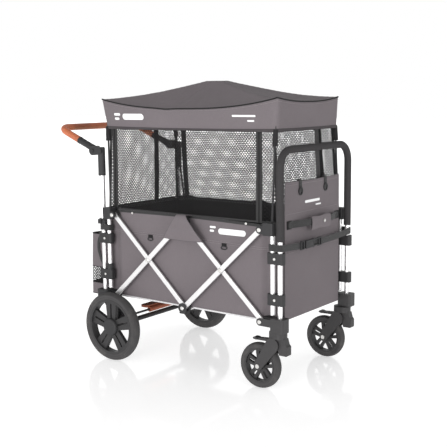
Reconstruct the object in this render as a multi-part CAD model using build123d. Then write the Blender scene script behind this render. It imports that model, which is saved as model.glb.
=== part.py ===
from build123d import *
import math
import os

# Folding kids pull wagon with a canopy, in millimetres. +X points forward, to the swivel wheels, and +Z up.
# The shapes below are placed from the middle of the scissor fold at floor level, on the centre line.
# save() moves them all, so that the origin of the written parts is the middle of the floor they stand on.

# Corner tubes
POST_X = 435.0  # outer corner tube, from the fold's middle
TWIN_SPACING = 32.0  # outer to inner tube of one corner
SIDE_Y = 244.0  # corner tubes, from the centre line
TUBE_D = 18.0
TUBE_WALL = 1.5
INNER_TUBE_RISE = 6.0  # foot of the inner tubes, above the housings
REAR_POST_TOP_Z = 775.0

# Scissor fold
PIVOT_INSET = 57.0  # end pivots, inboard of the middle of the corner pair
PIVOT_LOW_RISE = 33.0  # lower pivots, above the foot of the housings
PIVOT_HIGH_Z = 595.0
ARM_WIDTH = 20.0
ARM_THICK = 8.0
BOLT_D = 8.0
BOLT_HEAD_D = 16.0
BOLT_HEAD_H = 3.5
EAR_R = 14.0
EAR_THICK = 9.0  # inner ear
COVER_THICK = 3.5  # outer ear
MID_PLATE_R = 20.0

# Clearances
FIT_GAP = 0.1  # on the radius of tubes and pins that are fastened together or turn on each other
SLIDE_GAP = 0.3  # on the radius of tubes that slide in each other
SIDE_GAP = 1.0  # between parts that pass side by side
CLOTH_GAP = 4.0  # between cloth and the frame beside it

# Corner brackets
GUIDE_Z = (343.0, 493.0)
GUIDE_H = 41.0
GUIDE_WALL = 8.5
GUIDE_SCREW_D = 10.0
GUIDE_SCREW_H = 2.5
SLIDER_H = 42.0
SLIDER_WALL = 8.0

# Housings at the foot of the posts
HOUSING_RISE = 53.0  # from the top of the caster wheel to the housing
HOUSING_H = 51.0
HOUSING_WALL = 13.0
SOCKET_FLOOR = 25.0  # thickness of the housing under a post

# Bumper bar over the front
BAR_TOP_Z = 878.0
BAR_BEND_R = 65.0
BAR_FOAM_THICK = 5.0
FOAM_LOW_Z = 555.0

# Casters
CASTER_BACK = 5.0  # swivel axis, behind the middle of the post
CASTER_IN = 8.0  # swivel axis, inboard of the middle of the post
CASTER_TRAIL = 85.0
CASTER_STEM_D = 12.0
CASTER_HEAD_H = 24.0
CASTER_WHEEL_D = 172.0
CASTER_WHEEL_W = 32.0
FORK_PLATE = 4.5
FORK_GAP = 2.0
NECK_REACH = 38.0  # neck's front face, ahead of the swivel axis
NECK_DROP = 85.0  # neck's foot, below the housing
FORK_TOP_BACK = 23.0  # screw that joins the plates to the neck, behind the swivel axis
FORK_TOP_DROP = 50.0  # the same screw, below the housing
FORK_TOP_R = 27.0
FORK_FOOT_R = 17.0
LEVER_PIN_BACK = 29.0
LEVER_PIN_DROP = 36.0
LEVER_PIN_D = 5.0
LEVER_REACH = 83.0  # from the lever's pin to its tip

# Rear wheels
REAR_AXLE_IN = 89.0  # axle, ahead of the rear posts
REAR_WHEEL_D = 280.0
REAR_WHEEL_W = 40.0
REAR_WHEEL_GAP = 16.0  # from the leg to the wheel
AXLE_D = 12.0
AXLE_MIDDLE_D = 20.0
LEG_THICK = 26.0
BRAKE_AHEAD = 20.0  # brake shaft, ahead of the axle
BRAKE_ABOVE = 32.0  # brake shaft, above the axle
BRAKE_SHAFT_D = 9.0
PEDAL_Y = (-108.0, 64.0)

# Push handle
HANDLE_TUBE_WALL = 1.7
HANDLE_TUBE_LOW_Z = 556.0
HANDLE_TUBE_TOP_Z = 838.0
COLLAR_Z = (552.0, 574.0)
COLLAR_WALL = 6.0
HINGE_BACK = 37.0  # tilt hinge, behind the rear posts
HINGE_ABOVE = 14.0  # tilt hinge, above the handle tubes
HINGE_R = 19.0
SOCKET_WALL = 4.0
SOCKET_LOW_Z = 751.0
HANDLE_ARM_IN = 11.0  # handle's arms, inboard of the posts
HANDLE_REACH = 236.0
HANDLE_TILT = 22.4  # degrees above level, towards the rear
LOOP_D = 20.0
LOOP_BEND_R = 50.0
GRIP_D = 28.0
GRIP_START = 101.0
UPPER_SOCKET_R = 14.0
BUTTON_D = 16.0
BUTTON_TRAVEL = 4.0

# Cloth parts
TUB_SIDE_IN = 10.0  # tub's sides, inboard of the posts' middles
TUB_CORNER_IN = 26.0  # tub's sides beside the corner tubes
TUB_FRONT_IN = 16.0
TUB_REAR_IN = 4.0
TUB_FLOOR_RISE = 4.0  # tub's floor, above the lower pivots
TUB_RIM_RISE = 16.0  # tub's rim, above the upper pivots
CLOTH = 3.0
MAT_THICK = 15.0
ROOF_FRONT_IN = 28.0  # canopy's front, behind the front posts
ROOF_REAR_OUT = 10.0  # canopy's rear, behind the rear posts
ROOF_SIDE_IN = 28.0
EAVE_Z = 1061.0
PEAK_Z = 1128.0
PEAK_X = (-84.0, 49.0)
VALANCE_LOW_Z = 945.0
ROD_D = 8.0
ROD_FOOT_IN = 6.0  # foot of a canopy rod, inboard of the inner tube along X and Y
NET_INSET = 12.0
NET_THICK = 1.5
PANEL_SIDE_IN = (65.0, 57.0)  # right and left edges, inboard of the posts
PANEL_H = 149.0
STRAP_Z = 528.0
STRAP_W = 24.0
STRAP_THICK = 1.5
BUCKLE_Y = (-110.0, -40.0)
BASKET_BACK = 15.0  # basket's front, behind the rear posts
BASKET_DEPTH = 107.0
BASKET_SIDE_IN = 28.0
BASKET_Z = (238.0, 501.0)

# What follows from them
INNER_X = POST_X - TWIN_SPACING
BAR_FOAM_D = TUBE_D + 2 * BAR_FOAM_THICK
HANDLE_TUBE_D = TUBE_D + 2 * (SLIDE_GAP + HANDLE_TUBE_WALL)
COLLAR_R = HANDLE_TUBE_D / 2 + COLLAR_WALL
SOCKET_R = HANDLE_TUBE_D / 2 + SOCKET_WALL
HOUSING_LOW_Z = CASTER_WHEEL_D + HOUSING_RISE
HOUSING_HIGH_Z = HOUSING_LOW_Z + HOUSING_H
SOCKET_FLOOR_Z = HOUSING_LOW_Z + SOCKET_FLOOR
PIVOT_LOW_Z = HOUSING_LOW_Z + PIVOT_LOW_RISE
INNER_TUBE_LOW_Z = HOUSING_HIGH_Z + INNER_TUBE_RISE
TUB_FRONT_X = POST_X - TUB_FRONT_IN
TUB_REAR_X = -(POST_X - TUB_REAR_IN)
TUB_SIDE_Y = SIDE_Y - TUB_SIDE_IN
TUB_CORNER_Y = SIDE_Y - TUB_CORNER_IN
TUB_LOW_Z = PIVOT_LOW_Z + TUB_FLOOR_RISE
TUB_TOP_Z = PIVOT_HIGH_Z + TUB_RIM_RISE
ROOF_FRONT_X = POST_X - ROOF_FRONT_IN
ROOF_REAR_X = -(POST_X + ROOF_REAR_OUT)
ROOF_SIDE_Y = SIDE_Y - ROOF_SIDE_IN
ROD_FOOT_X = INNER_X - ROD_FOOT_IN
ROD_FOOT_Y = SIDE_Y - ROD_FOOT_IN
PANEL_Y = (-(SIDE_Y - PANEL_SIDE_IN[0]), SIDE_Y - PANEL_SIDE_IN[1])
PANEL_TOP_Z = TUB_TOP_Z + SIDE_GAP + PANEL_H
BASKET_FRONT_X = -(POST_X + BASKET_BACK)
BASKET_REAR_X = BASKET_FRONT_X - BASKET_DEPTH
BASKET_Y = SIDE_Y - BASKET_SIDE_IN
PIVOT_X = POST_X - TWIN_SPACING / 2 - PIVOT_INSET
CROSS_X = PIVOT_X / 2
CROSS_Z = (PIVOT_LOW_Z + PIVOT_HIGH_Z) / 2
TUBE_R = TUBE_D / 2
EAR_Y = TUB_SIDE_Y + CLOTH_GAP  # inner face of the ears
ARM_Y = (EAR_Y + EAR_THICK + SIDE_GAP, EAR_Y + EAR_THICK + 2 * SIDE_GAP + ARM_THICK)
COVER_Y = ARM_Y[1] + ARM_THICK + SIDE_GAP  # inner face of the outer ears
OUT_Y = COVER_Y + COVER_THICK
BLOCK_X = PIVOT_X + ARM_WIDTH / 2 + 2 * SIDE_GAP  # where a bracket's body starts
SLIDER_FRONT_X = POST_X - max(BAR_FOAM_D / 2, COLLAR_R) - SIDE_GAP
PANEL_FRONT_X = POST_X - BAR_FOAM_D / 2 - SIDE_GAP  # the bumper bar's foam passes in front of the panel
HOUSING_X = (INNER_X + SIDE_GAP, POST_X + TUBE_R + HOUSING_WALL + 5)
AXLE_Z = REAR_WHEEL_D / 2
REAR_AXLE_X = -(POST_X - REAR_AXLE_IN)
REAR_WHEEL_Y = EAR_Y + LEG_THICK + REAR_WHEEL_GAP + REAR_WHEEL_W / 2
BRAKE_SHAFT = (REAR_AXLE_X + BRAKE_AHEAD, AXLE_Z + BRAKE_ABOVE)
CASTER_X = POST_X - CASTER_BACK
CASTER_Y = SIDE_Y - CASTER_IN
NECK_FRONT_X = CASTER_X + NECK_REACH
NECK_LOW_Z = HOUSING_LOW_Z - NECK_DROP
FORK_TOP = (CASTER_X - FORK_TOP_BACK, HOUSING_LOW_Z - FORK_TOP_DROP)  # along X and Z
LEVER_PIN = (CASTER_X - LEVER_PIN_BACK, HOUSING_LOW_Z - LEVER_PIN_DROP)
LEVER_TIP_X = LEVER_PIN[0] - LEVER_REACH
CASTER_AXLE_X = CASTER_X - CASTER_TRAIL
CASTER_AXLE_Z = CASTER_WHEEL_D / 2
FORK_IN = CASTER_WHEEL_W / 2 + FORK_GAP
BOSS_Y = SIDE_Y + SIDE_GAP  # inner face of the handle's lower hinge boss
BOSS_THICK = 15.0
HINGE_X = -(POST_X + HINGE_BACK)
HINGE_Z = HANDLE_TUBE_TOP_Z + HINGE_ABOVE
HANDLE_ARM_Y = SIDE_Y - HANDLE_ARM_IN
HANDLE_U = Vector(-math.cos(math.radians(HANDLE_TILT)), 0, math.sin(math.radians(HANDLE_TILT)))
HANDLE_END_X = HINGE_X + HANDLE_U.X * HANDLE_REACH
ORIGIN_X = (NECK_FRONT_X + HANDLE_END_X - GRIP_D / 2) / 2


def save(name, *shapes):
    """Write one part, made of one or more separate solids."""
    solids = [solid for shape in shapes for solid in shape.solids()]
    export_step(Pos(-ORIGIN_X, 0, 0) * Compound(solids), f"parts/{name}.step")


def both(shape):
    """The shape and its mirror image on the other side of the wagon."""
    return [shape, mirror(shape, about=Plane.XZ)]


def rear(shape):
    """A front piece mirrored to the rear end."""
    return mirror(shape, about=Plane.YZ)


def box(x, y, z):
    """A block from three (low, high) pairs."""
    size = [high - low for low, high in (x, y, z)]
    middle = [(low + high) / 2 for low, high in (x, y, z)]
    return Pos(*middle) * Box(*size)


def slab(outline, y):
    """An outline drawn in X and Z, thick over the (low, high) pair y."""
    plane = Plane(origin=(0, y[0], 0), x_dir=(1, 0, 0), z_dir=(0, -1, 0))
    return extrude(plane * outline, amount=y[1] - y[0], dir=(0, 1, 0))


def disc_y(x, z, radius, y):
    """A round piece along Y."""
    return slab(Pos(x, z) * Circle(radius), y)


def disc_z(x, y, radius, z):
    """A round piece along Z."""
    return Pos(x, y, (z[0] + z[1]) / 2) * Cylinder(radius, z[1] - z[0])


def link(a, b, radius_a, radius_b=None):
    """The outline of a link: a round end at each of two (x, z) points, with straight sides."""
    ends = [Pos(*a) * Circle(radius_a), Pos(*b) * Circle(radius_b or radius_a)]
    return make_hull(ends[0].edges() + ends[1].edges())


def rod(a, b, radius):
    """A round bar between two points."""
    start, run = Vector(*a), Vector(*b) - Vector(*a)
    plane = Plane(origin=start, z_dir=run)
    return extrude(plane * Circle(radius), amount=run.length)


def pipe(points, bend, outer, inner):
    """A bent tube: straight runs joined by arcs."""
    path = FilletPolyline(*points, radius=bend) if bend else Line(*points)
    plane = Plane(origin=path @ 0, z_dir=path % 0)
    return sweep(plane * (Circle(outer / 2) - Circle(inner / 2)), path=path)


def bolt(x, z, y_in, y_out):
    """A pivot bolt along Y, with a domed head outside and a nut inside."""
    shank = disc_y(x, z, BOLT_D / 2, (y_in, y_out + BOLT_HEAD_H / 2))
    head = disc_y(x, z, BOLT_HEAD_D / 2, (y_out, y_out + BOLT_HEAD_H))
    rim = head.edges().filter_by(GeomType.CIRCLE).sort_by(Axis.Y)[-1]
    return shank + fillet(rim, BOLT_HEAD_H * 0.6)


def pin_hole(x, z, y):
    """A hole along Y for a pivot bolt."""
    return disc_y(x, z, BOLT_D / 2 + FIT_GAP, y)


# ---- scissor arms ----


def arm(low, high, layer):
    """A flat arm between two (x, z) pivots, in the inner (0) or outer (1) layer."""
    y = (ARM_Y[layer], ARM_Y[layer] + ARM_THICK)
    bar = slab(link(low, high, ARM_WIDTH / 2), y)
    bar = fillet(bar.edges().group_by(Axis.Y)[0] + bar.edges().group_by(Axis.Y)[-1], ARM_THICK * 0.3)
    middle = ((low[0] + high[0]) / 2, (low[1] + high[1]) / 2)
    for x, z in (low, high, middle):
        bar -= pin_hole(x, z, (y[0] - 1, y[1] + 1))
    return bar


def scissor_arms():
    foot, top = (0, PIVOT_LOW_Z), (0, PIVOT_HIGH_Z)
    front_top, front_foot = (PIVOT_X, PIVOT_HIGH_Z), (PIVOT_X, PIVOT_LOW_Z)
    rear_top, rear_foot = (-PIVOT_X, PIVOT_HIGH_Z), (-PIVOT_X, PIVOT_LOW_Z)
    save("front_outer_arms", *both(arm(foot, front_top, 1)))
    save("front_inner_arms", *both(arm(top, front_foot, 0)))
    save("rear_outer_arms", *both(arm(foot, rear_top, 0)))
    save("rear_inner_arms", *both(arm(top, rear_foot, 1)))
    for end, sign in (("front", 1), ("rear", -1)):
        crossing = bolt(sign * CROSS_X, CROSS_Z, ARM_Y[0] - SIDE_GAP, ARM_Y[1] + ARM_THICK)
        pivot = bolt(sign * PIVOT_X, PIVOT_HIGH_Z, EAR_Y, OUT_Y)
        save(f"{end}_arm_rivets", *both(crossing), *both(pivot))


def ears(x, z, toward_x, spacer_outside):
    """The two ears that hold an arm's end, with the spacer that fills the empty layer."""
    outline = link((x, z), (toward_x, z), EAR_R)
    inner = slab(outline, (EAR_Y, EAR_Y + EAR_THICK))
    outer = slab(outline, (COVER_Y, OUT_Y))
    if spacer_outside:
        spacer = disc_y(x, z, EAR_R - 3, (ARM_Y[1] - SIDE_GAP / 2, COVER_Y))
    else:
        spacer = disc_y(x, z, EAR_R - 3, (EAR_Y + EAR_THICK, ARM_Y[1] - SIDE_GAP / 2))
    return inner + outer + spacer - pin_hole(x, z, (EAR_Y - 1, OUT_Y + 1))


def mid_brackets():
    """The brackets at the fold's middle, where the arms of both ends share one bolt."""
    for name, z, side in (("mid_bottom_brackets", PIVOT_LOW_Z, -1), ("mid_top_brackets", PIVOT_HIGH_Z, 1)):
        web_in = z + side * (ARM_WIDTH / 2 + 3 * SIDE_GAP)
        web_out = z + side * (MID_PLATE_R + 2)
        web_z = (min(web_in, web_out), max(web_in, web_out))
        inner = disc_y(0, z, MID_PLATE_R, (EAR_Y, EAR_Y + EAR_THICK))
        outer = disc_y(0, z, MID_PLATE_R, (COVER_Y, OUT_Y))
        web = box((-MID_PLATE_R * 0.7, MID_PLATE_R * 0.7), (EAR_Y, OUT_Y), web_z)
        bracket = inner + outer + web
        if side > 0:
            bracket += disc_y(0, z, BOLT_D / 2, (EAR_Y, OUT_Y))
        else:
            bracket -= pin_hole(0, z, (EAR_Y - 1, OUT_Y + 1))
        save(name, *both(bracket))
    save("mid_bottom_bolts", *both(bolt(0, PIVOT_LOW_Z, EAR_Y, OUT_Y)))
    cross_z = PIVOT_LOW_Z - MID_PLATE_R / 2
    ends = [(0, -EAR_Y, cross_z), (0, EAR_Y, cross_z)]
    save("bottom_cross_tube", pipe(ends, 0, TUBE_D - 4, TUBE_D - 4 - 2 * TUBE_WALL))


# ---- corner sliders, which carry the canopy ----


def canopy_rod_ends(sign):
    """Foot and tip of a canopy rod on the +Y side: front (1) or rear (-1)."""
    roof_x = ROOF_FRONT_X if sign > 0 else -ROOF_REAR_X
    foot = (sign * ROD_FOOT_X, ROD_FOOT_Y, PIVOT_HIGH_Z + SLIDER_H / 2 - 10)
    tip = (sign * (roof_x - 12), ROOF_SIDE_Y - 12, EAVE_Z - 16)
    return foot, tip


def slider_bracket(sign):
    """The bracket on top of an inner corner tube."""
    z = (PIVOT_HIGH_Z - SLIDER_H / 2 + 2, PIVOT_HIGH_Z + SLIDER_H / 2 + 5)
    low_y = SIDE_Y - TUBE_R - SLIDER_WALL / 2
    body = box((BLOCK_X, SLIDER_FRONT_X), (low_y, OUT_Y), z)
    body = fillet(body.edges().filter_by(Axis.Z), 5)
    body += ears(PIVOT_X, PIVOT_HIGH_Z, BLOCK_X + EAR_R, spacer_outside=sign < 0)
    body -= disc_z(INNER_X, SIDE_Y, TUBE_R + FIT_GAP, (z[0] - 1, slider_tube_top() + FIT_GAP))
    foot, tip = canopy_rod_ends(sign)
    foot, tip = (abs(foot[0]), *foot[1:]), (abs(tip[0]), *tip[1:])
    return body - rod(foot, tip, ROD_D / 2 + FIT_GAP)


def slider_tube_top():
    return PIVOT_HIGH_Z + SLIDER_H / 2 - 14


def inner_tube():
    """The tube that slides in the guides beside a post, with a plug in its lower end."""
    tube = disc_z(INNER_X, SIDE_Y, TUBE_R, (INNER_TUBE_LOW_Z, slider_tube_top()))
    tube = fillet(tube.edges().group_by(Axis.Z)[0], 4)
    return tube - disc_z(INNER_X, SIDE_Y, TUBE_R - TUBE_WALL, (INNER_TUBE_LOW_Z + 8, slider_tube_top() + 1))


def sliders():
    save("front_slider_brackets", *both(slider_bracket(1)))
    save("rear_slider_brackets", *both(rear(slider_bracket(-1))))
    save("front_inner_tubes", *both(inner_tube()))
    save("rear_inner_tubes", *both(rear(inner_tube())))
    for end, sign in (("front", 1), ("rear", -1)):
        save(f"{end}_canopy_rods", *both(rod(*canopy_rod_ends(sign), ROD_D / 2)))


# ---- end frames ----


def guide_bracket(z_middle, collar_h=0):
    """A bracket that is fixed to a post and guides the tube that slides beside it."""
    x = (INNER_X - TUBE_R - GUIDE_WALL, POST_X + TUBE_R + GUIDE_WALL)
    y = (SIDE_Y - TUBE_R - GUIDE_WALL / 2, SIDE_Y + TUBE_R + GUIDE_WALL / 2)
    z = (z_middle - GUIDE_H / 2, z_middle + GUIDE_H / 2)
    body = box(x, y, z)
    body = fillet(body.edges().filter_by(Axis.Z), 8)
    if collar_h:
        body += disc_z(INNER_X, SIDE_Y, TUBE_R + GUIDE_WALL / 2, (z[1], z[1] + collar_h))
    through = (z[0] - 1, z[1] + collar_h + 1)
    body -= disc_z(POST_X, SIDE_Y, TUBE_R + FIT_GAP, through)
    return body - disc_z(INNER_X, SIDE_Y, TUBE_R + SLIDE_GAP, through)


def guide_screw(z_middle):
    """The screw head on the face of a guide bracket, between its tubes."""
    face = SIDE_Y + TUBE_R + GUIDE_WALL / 2
    head = disc_y((POST_X + INNER_X) / 2, z_middle, GUIDE_SCREW_D / 2, (face, face + GUIDE_SCREW_H))
    return fillet(head.edges().group_by(Axis.Y)[-1], GUIDE_SCREW_H * 0.4)


def housing():
    """The block at the foot of a post, with ears for an arm."""
    body = box(HOUSING_X, (SIDE_Y - TUBE_R - HOUSING_WALL, OUT_Y), (HOUSING_LOW_Z, HOUSING_HIGH_Z))
    return fillet(body.edges().filter_by(Axis.Z), 9)


def post_socket(x):
    """The hole in a housing that holds a post."""
    return disc_z(x, SIDE_Y, TUBE_R + FIT_GAP, (SOCKET_FLOOR_Z, HOUSING_HIGH_Z + 1))


def frame_bolts(sign):
    """The pivot bolts and bracket screws that belong to one end's frame."""
    pieces = both(bolt(sign * PIVOT_X, PIVOT_LOW_Z, EAR_Y, OUT_Y))
    for z in GUIDE_Z:
        screw = guide_screw(z)
        pieces += both(rear(screw) if sign < 0 else screw)
    return pieces


def front_frame():
    low, high = (SIDE_Y, SOCKET_FLOOR_Z), (SIDE_Y, BAR_TOP_Z)
    route = [(POST_X, -y, z) for y, z in (low, high)] + [(POST_X, y, z) for y, z in (high, low)]
    save("u_bar", pipe(route, BAR_BEND_R, TUBE_D, TUBE_D - 2 * TUBE_WALL))
    foam_low = (SIDE_Y, FOAM_LOW_Z)
    route = [(POST_X, -y, z) for y, z in (foam_low, high)] + [(POST_X, y, z) for y, z in (high, foam_low)]
    save("u_bar_foam", pipe(route, BAR_BEND_R, BAR_FOAM_D, TUBE_D + 2 * FIT_GAP))
    save("front_guide_brackets", *[piece for z in GUIDE_Z for piece in both(guide_bracket(z))])
    block = housing() + ears(PIVOT_X, PIVOT_LOW_Z, HOUSING_X[0] + EAR_R, spacer_outside=True)
    block -= post_socket(POST_X)
    block -= disc_z(CASTER_X, CASTER_Y, CASTER_STEM_D / 2 + FIT_GAP, (HOUSING_LOW_Z - 1, SOCKET_FLOOR_Z - 3))
    save("caster_housings", *both(block))
    save("front_frame_bolts", *frame_bolts(1))
    strap_x = POST_X + TUBE_R + 2 * SIDE_GAP
    strap_z = (STRAP_Z - STRAP_W / 2, STRAP_Z + STRAP_W / 2)
    strap_y = SIDE_Y + TUBE_R
    strap = box((strap_x, strap_x + STRAP_THICK), (-strap_y, strap_y), strap_z)
    buckle_z = (strap_z[0] - 4, strap_z[1] + 4)
    buckle = box((strap_x - 3, strap_x + 9), BUCKLE_Y, buckle_z)
    save("leg_strap", strap - box((strap_x - 4, strap_x + 10), BUCKLE_Y, buckle_z))
    save("strap_buckle", fillet(buckle.edges(), 3))


def rear_frame():
    post = disc_z(-POST_X, SIDE_Y, TUBE_R, (SOCKET_FLOOR_Z, REAR_POST_TOP_Z))
    bore = disc_z(-POST_X, SIDE_Y, TUBE_R - TUBE_WALL, (SOCKET_FLOOR_Z + 1, REAR_POST_TOP_Z + 1))
    save("rear_posts", *both(post - bore))
    lower, upper = GUIDE_Z
    guides = [guide_bracket(lower, collar_h=24), guide_bracket(upper)]
    save("rear_guide_brackets", *[piece for guide in guides for piece in both(rear(guide))])
    save("rear_frame_bolts", *frame_bolts(-1))
    block = rear(housing() + ears(PIVOT_X, PIVOT_LOW_Z, HOUSING_X[0] + EAR_R, spacer_outside=False))
    leg_y = (EAR_Y, EAR_Y + LEG_THICK)
    axle, shaft = (REAR_AXLE_X, AXLE_Z), BRAKE_SHAFT
    root = (-HOUSING_X[0] - 20, HOUSING_LOW_Z + 17)
    leg = slab(link(axle, root, 20, 12), leg_y) + slab(link(axle, shaft, 20, 10), leg_y)
    leg += slab(link(shaft, root, 10, 12), leg_y)
    block += leg
    block -= post_socket(-POST_X)
    block -= disc_y(*axle, AXLE_D / 2 + FIT_GAP, (leg_y[0] - 1, leg_y[1] + 1))
    block -= disc_y(*shaft, BRAKE_SHAFT_D / 2 + FIT_GAP, (leg_y[0] - 1, leg_y[1] + 1))
    save("rear_housings", *both(block))
    half = REAR_WHEEL_Y + REAR_WHEEL_W / 2 - 6
    thin_bar = disc_y(*axle, AXLE_D / 2, (-half, half))
    save("rear_axle", thin_bar + disc_y(*axle, AXLE_MIDDLE_D / 2, (-EAR_Y, EAR_Y)))
    outer = box((BASKET_REAR_X, BASKET_FRONT_X), (-BASKET_Y, BASKET_Y), BASKET_Z)
    outer = fillet(outer.edges().filter_by(Axis.Z), 24)
    inside = box(
        (BASKET_REAR_X + CLOTH, BASKET_FRONT_X - CLOTH),
        (-BASKET_Y + CLOTH, BASKET_Y - CLOTH),
        (BASKET_Z[0] + CLOTH, BASKET_Z[1] + 1),
    )
    save("rear_basket", outer - fillet(inside.edges().filter_by(Axis.Z), 24 - CLOTH))


def brake():
    """A foot pedal on a shaft across the rear, with a finger beside each wheel."""
    x, z = BRAKE_SHAFT
    half = EAR_Y + LEG_THICK + 8
    shaft = disc_y(x, z, BRAKE_SHAFT_D / 2, (-half, half))
    finger_y = (EAR_Y + LEG_THICK + SIDE_GAP, half)
    fingers = both(slab(link((x, z), (x + 14, z), 9, 5), finger_y))
    save("brake_shaft", shaft + fingers[0] + fingers[1])
    body = disc_y(x, z, 11, (PEDAL_Y[0] + 12, PEDAL_Y[1] - 12))
    tread = box((x - 42, x - 2), PEDAL_Y, (z + 8, z + 17))
    tread = fillet(tread.edges().filter_by(Axis.Z), 12)
    pedal = body + tread - disc_y(x, z, BRAKE_SHAFT_D / 2 + FIT_GAP, (-half, half))
    save("brake_pedal", pedal)


# ---- wheels ----


def tyre(radius, bore, width):
    """A solid tyre about Y, with a rounded tread and a step at each shoulder."""
    half = width / 2
    crown = radius - (radius - bore) * 0.28
    lip = crown + 1.5
    tread = ThreePointArc((lip, -half * 0.9), (radius, 0), (lip, half * 0.9))
    shoulder = [(lip, half * 0.9), (crown, half), (bore, half * 0.8)]
    side = Polyline(*shoulder, *[(x, -y) for x, y in reversed(shoulder)])
    return revolve(make_face(tread + side), Axis.Y)


def rim(radius, ring, width, spoke, slit, hub, bore):
    """A rim about Y: a ring, and five broad spokes, each split by a slit.

    spoke is a spoke's half width at the ring, slit the width of its slit, and hub the hub's radius and its
    (low, high) pair along Y.
    """
    inner = radius - ring
    hub_r, hub_y = hub
    reach = inner + 2
    outline = Polygon((0, -spoke * 0.6), (reach, -spoke), (reach, spoke), (0, spoke * 0.6), align=None)
    gap = Pos((inner + hub_r) / 2 + 2, 0) * SlotOverall((inner - hub_r) * 0.74, slit)
    spokes = [Rot(0, 0, 90 + 72 * k) * (outline - gap) for k in range(5)]
    web = (Sketch() + spokes) & Circle(inner + ring / 2)
    body = slab(web, (-0.2 * width, 0.2 * width))
    body += slab(Circle(radius) - Circle(inner), (-0.42 * width, 0.42 * width))
    body += disc_y(0, 0, hub_r, hub_y)
    return body - disc_y(0, 0, bore, (hub_y[0] - 1, hub_y[1] + 1))


def yoke():
    """A caster's head, neck and fork plates, with the stem that turns in the housing."""
    x, y = CASTER_X, CASTER_Y
    head_top = HOUSING_LOW_Z - SIDE_GAP
    head_low = head_top - CASTER_HEAD_H
    top_x, top_z = FORK_TOP
    back = Pos(x - 25, y) * Circle(20)
    around = Pos(x, y) * Circle(26)
    head = extrude(Pos(0, 0, head_low) * make_hull(around.edges() + back.edges()), amount=CASTER_HEAD_H)
    head = fillet(head.edges().group_by(Axis.Z)[-1], 3)
    stem = disc_z(x, y, CASTER_STEM_D / 2, (head_low, SOCKET_FLOOR_Z - 4))
    wheel_front = CASTER_AXLE_X + CASTER_WHEEL_D / 2 + FORK_GAP
    outline = Polygon(
        (top_x + 5, head_low + 2),
        (x + 26, head_low + 2),
        (x + 32, head_low - 20),
        (NECK_FRONT_X, head_low - 26),
        (NECK_FRONT_X, NECK_LOW_Z),
        (wheel_front, NECK_LOW_Z),
        (top_x + 21, NECK_LOW_Z + 20),
        (top_x + 9, top_z + 3),
        align=None,
    )
    neck = slab(outline, (y - FORK_IN + 4, y + FORK_IN - 4))
    neck = fillet(neck.edges().filter_by(Axis.Y).group_by(Axis.X)[-1], 5)
    plate = link(FORK_TOP, (CASTER_AXLE_X, CASTER_AXLE_Z), FORK_TOP_R, FORK_FOOT_R)
    body = head + stem + neck + disc_y(top_x + 9, top_z - 3, 9, (y - FORK_IN - 1, y + FORK_IN + 1))
    for low in (y - FORK_IN - FORK_PLATE, y + FORK_IN):
        body += slab(plate, (low, low + FORK_PLATE))
    through = (y - FORK_IN - FORK_PLATE - 1, y + FORK_IN + FORK_PLATE + 1)
    body -= disc_y(*LEVER_PIN, LEVER_PIN_D / 2 + FIT_GAP, through)
    return body - disc_y(CASTER_AXLE_X, CASTER_AXLE_Z, 5 + FIT_GAP, through)


def lock_lever():
    """A foot lever over the front wheel, on a pin between the fork plates."""
    x, z = LEVER_PIN
    y = CASTER_Y
    arm_line = link((x, z), (LEVER_TIP_X + 14, z - 3), 5.5, 4)
    tip = link((LEVER_TIP_X + 14, z - 2), (LEVER_TIP_X + 4, z - 1), 4.5, 4)
    lever = slab(arm_line, (y - 9, y + 9)) + slab(tip, (y - 13, y + 13))
    return lever + disc_y(x, z, LEVER_PIN_D / 2, (y - FORK_IN - FORK_PLATE, y + FORK_IN + FORK_PLATE))


def casters():
    y = CASTER_Y
    radius = CASTER_WHEEL_D / 2
    rim_r = radius * 0.75
    hub_half = FORK_IN - SIDE_GAP
    wheel_rim = rim(rim_r, 6, CASTER_WHEEL_W, 19, 9, (16, (-hub_half, hub_half)), 5 + FIT_GAP)
    wheel_tyre = tyre(radius, rim_r + FIT_GAP, CASTER_WHEEL_W)
    reach = FORK_IN + FORK_PLATE
    axle = disc_y(CASTER_AXLE_X, CASTER_AXLE_Z, 5, (y - reach - 3, y + reach + 3))
    for low in (y - reach - 4, y + reach):
        axle += disc_y(CASTER_AXLE_X, CASTER_AXLE_Z, 8, (low, low + 4))
    place = Pos(CASTER_AXLE_X, y, CASTER_AXLE_Z)
    pieces = {
        "caster_yoke": yoke(),
        "caster_axle": axle,
        "caster_lock_lever": lock_lever(),
        "front_rim": place * wheel_rim,
        "front_tyre": place * wheel_tyre,
    }
    for name, piece in pieces.items():
        save(f"{name}_left", piece)
        save(f"{name}_right", mirror(piece, about=Plane.XZ))


def rear_wheels():
    radius = REAR_WHEEL_D / 2
    rim_r = radius * 0.81
    spoke_y = 0.2 * REAR_WHEEL_W
    hub_y = (EAR_Y + LEG_THICK + SIDE_GAP - REAR_WHEEL_Y, spoke_y + 4)
    cap_r = 36
    outside = REAR_WHEEL_W / 2 + 2
    cap = disc_y(0, 0, cap_r, (spoke_y, outside))
    cap = fillet(cap.edges().group_by(Axis.Y)[-1], 8)
    cap -= disc_y(0, 0, 22 + FIT_GAP, (spoke_y - 1, hub_y[1] + FIT_GAP))
    cap -= disc_y(0, 0, AXLE_D / 2 + SIDE_GAP, (spoke_y - 1, outside - 4))
    place = Pos(REAR_AXLE_X, REAR_WHEEL_Y, AXLE_Z)
    wheel_rim = rim(rim_r, 9, REAR_WHEEL_W, 30, 7, (22, hub_y), AXLE_D / 2 + FIT_GAP)
    pieces = {
        "rear_rim": wheel_rim,
        "rear_tyre": tyre(radius, rim_r + FIT_GAP, REAR_WHEEL_W),
        "rear_hub_cap": cap,
    }
    for name, piece in pieces.items():
        save(f"{name}_left", place * piece)
        save(f"{name}_right", mirror(place * piece, about=Plane.XZ))


# ---- push handle ----


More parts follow.
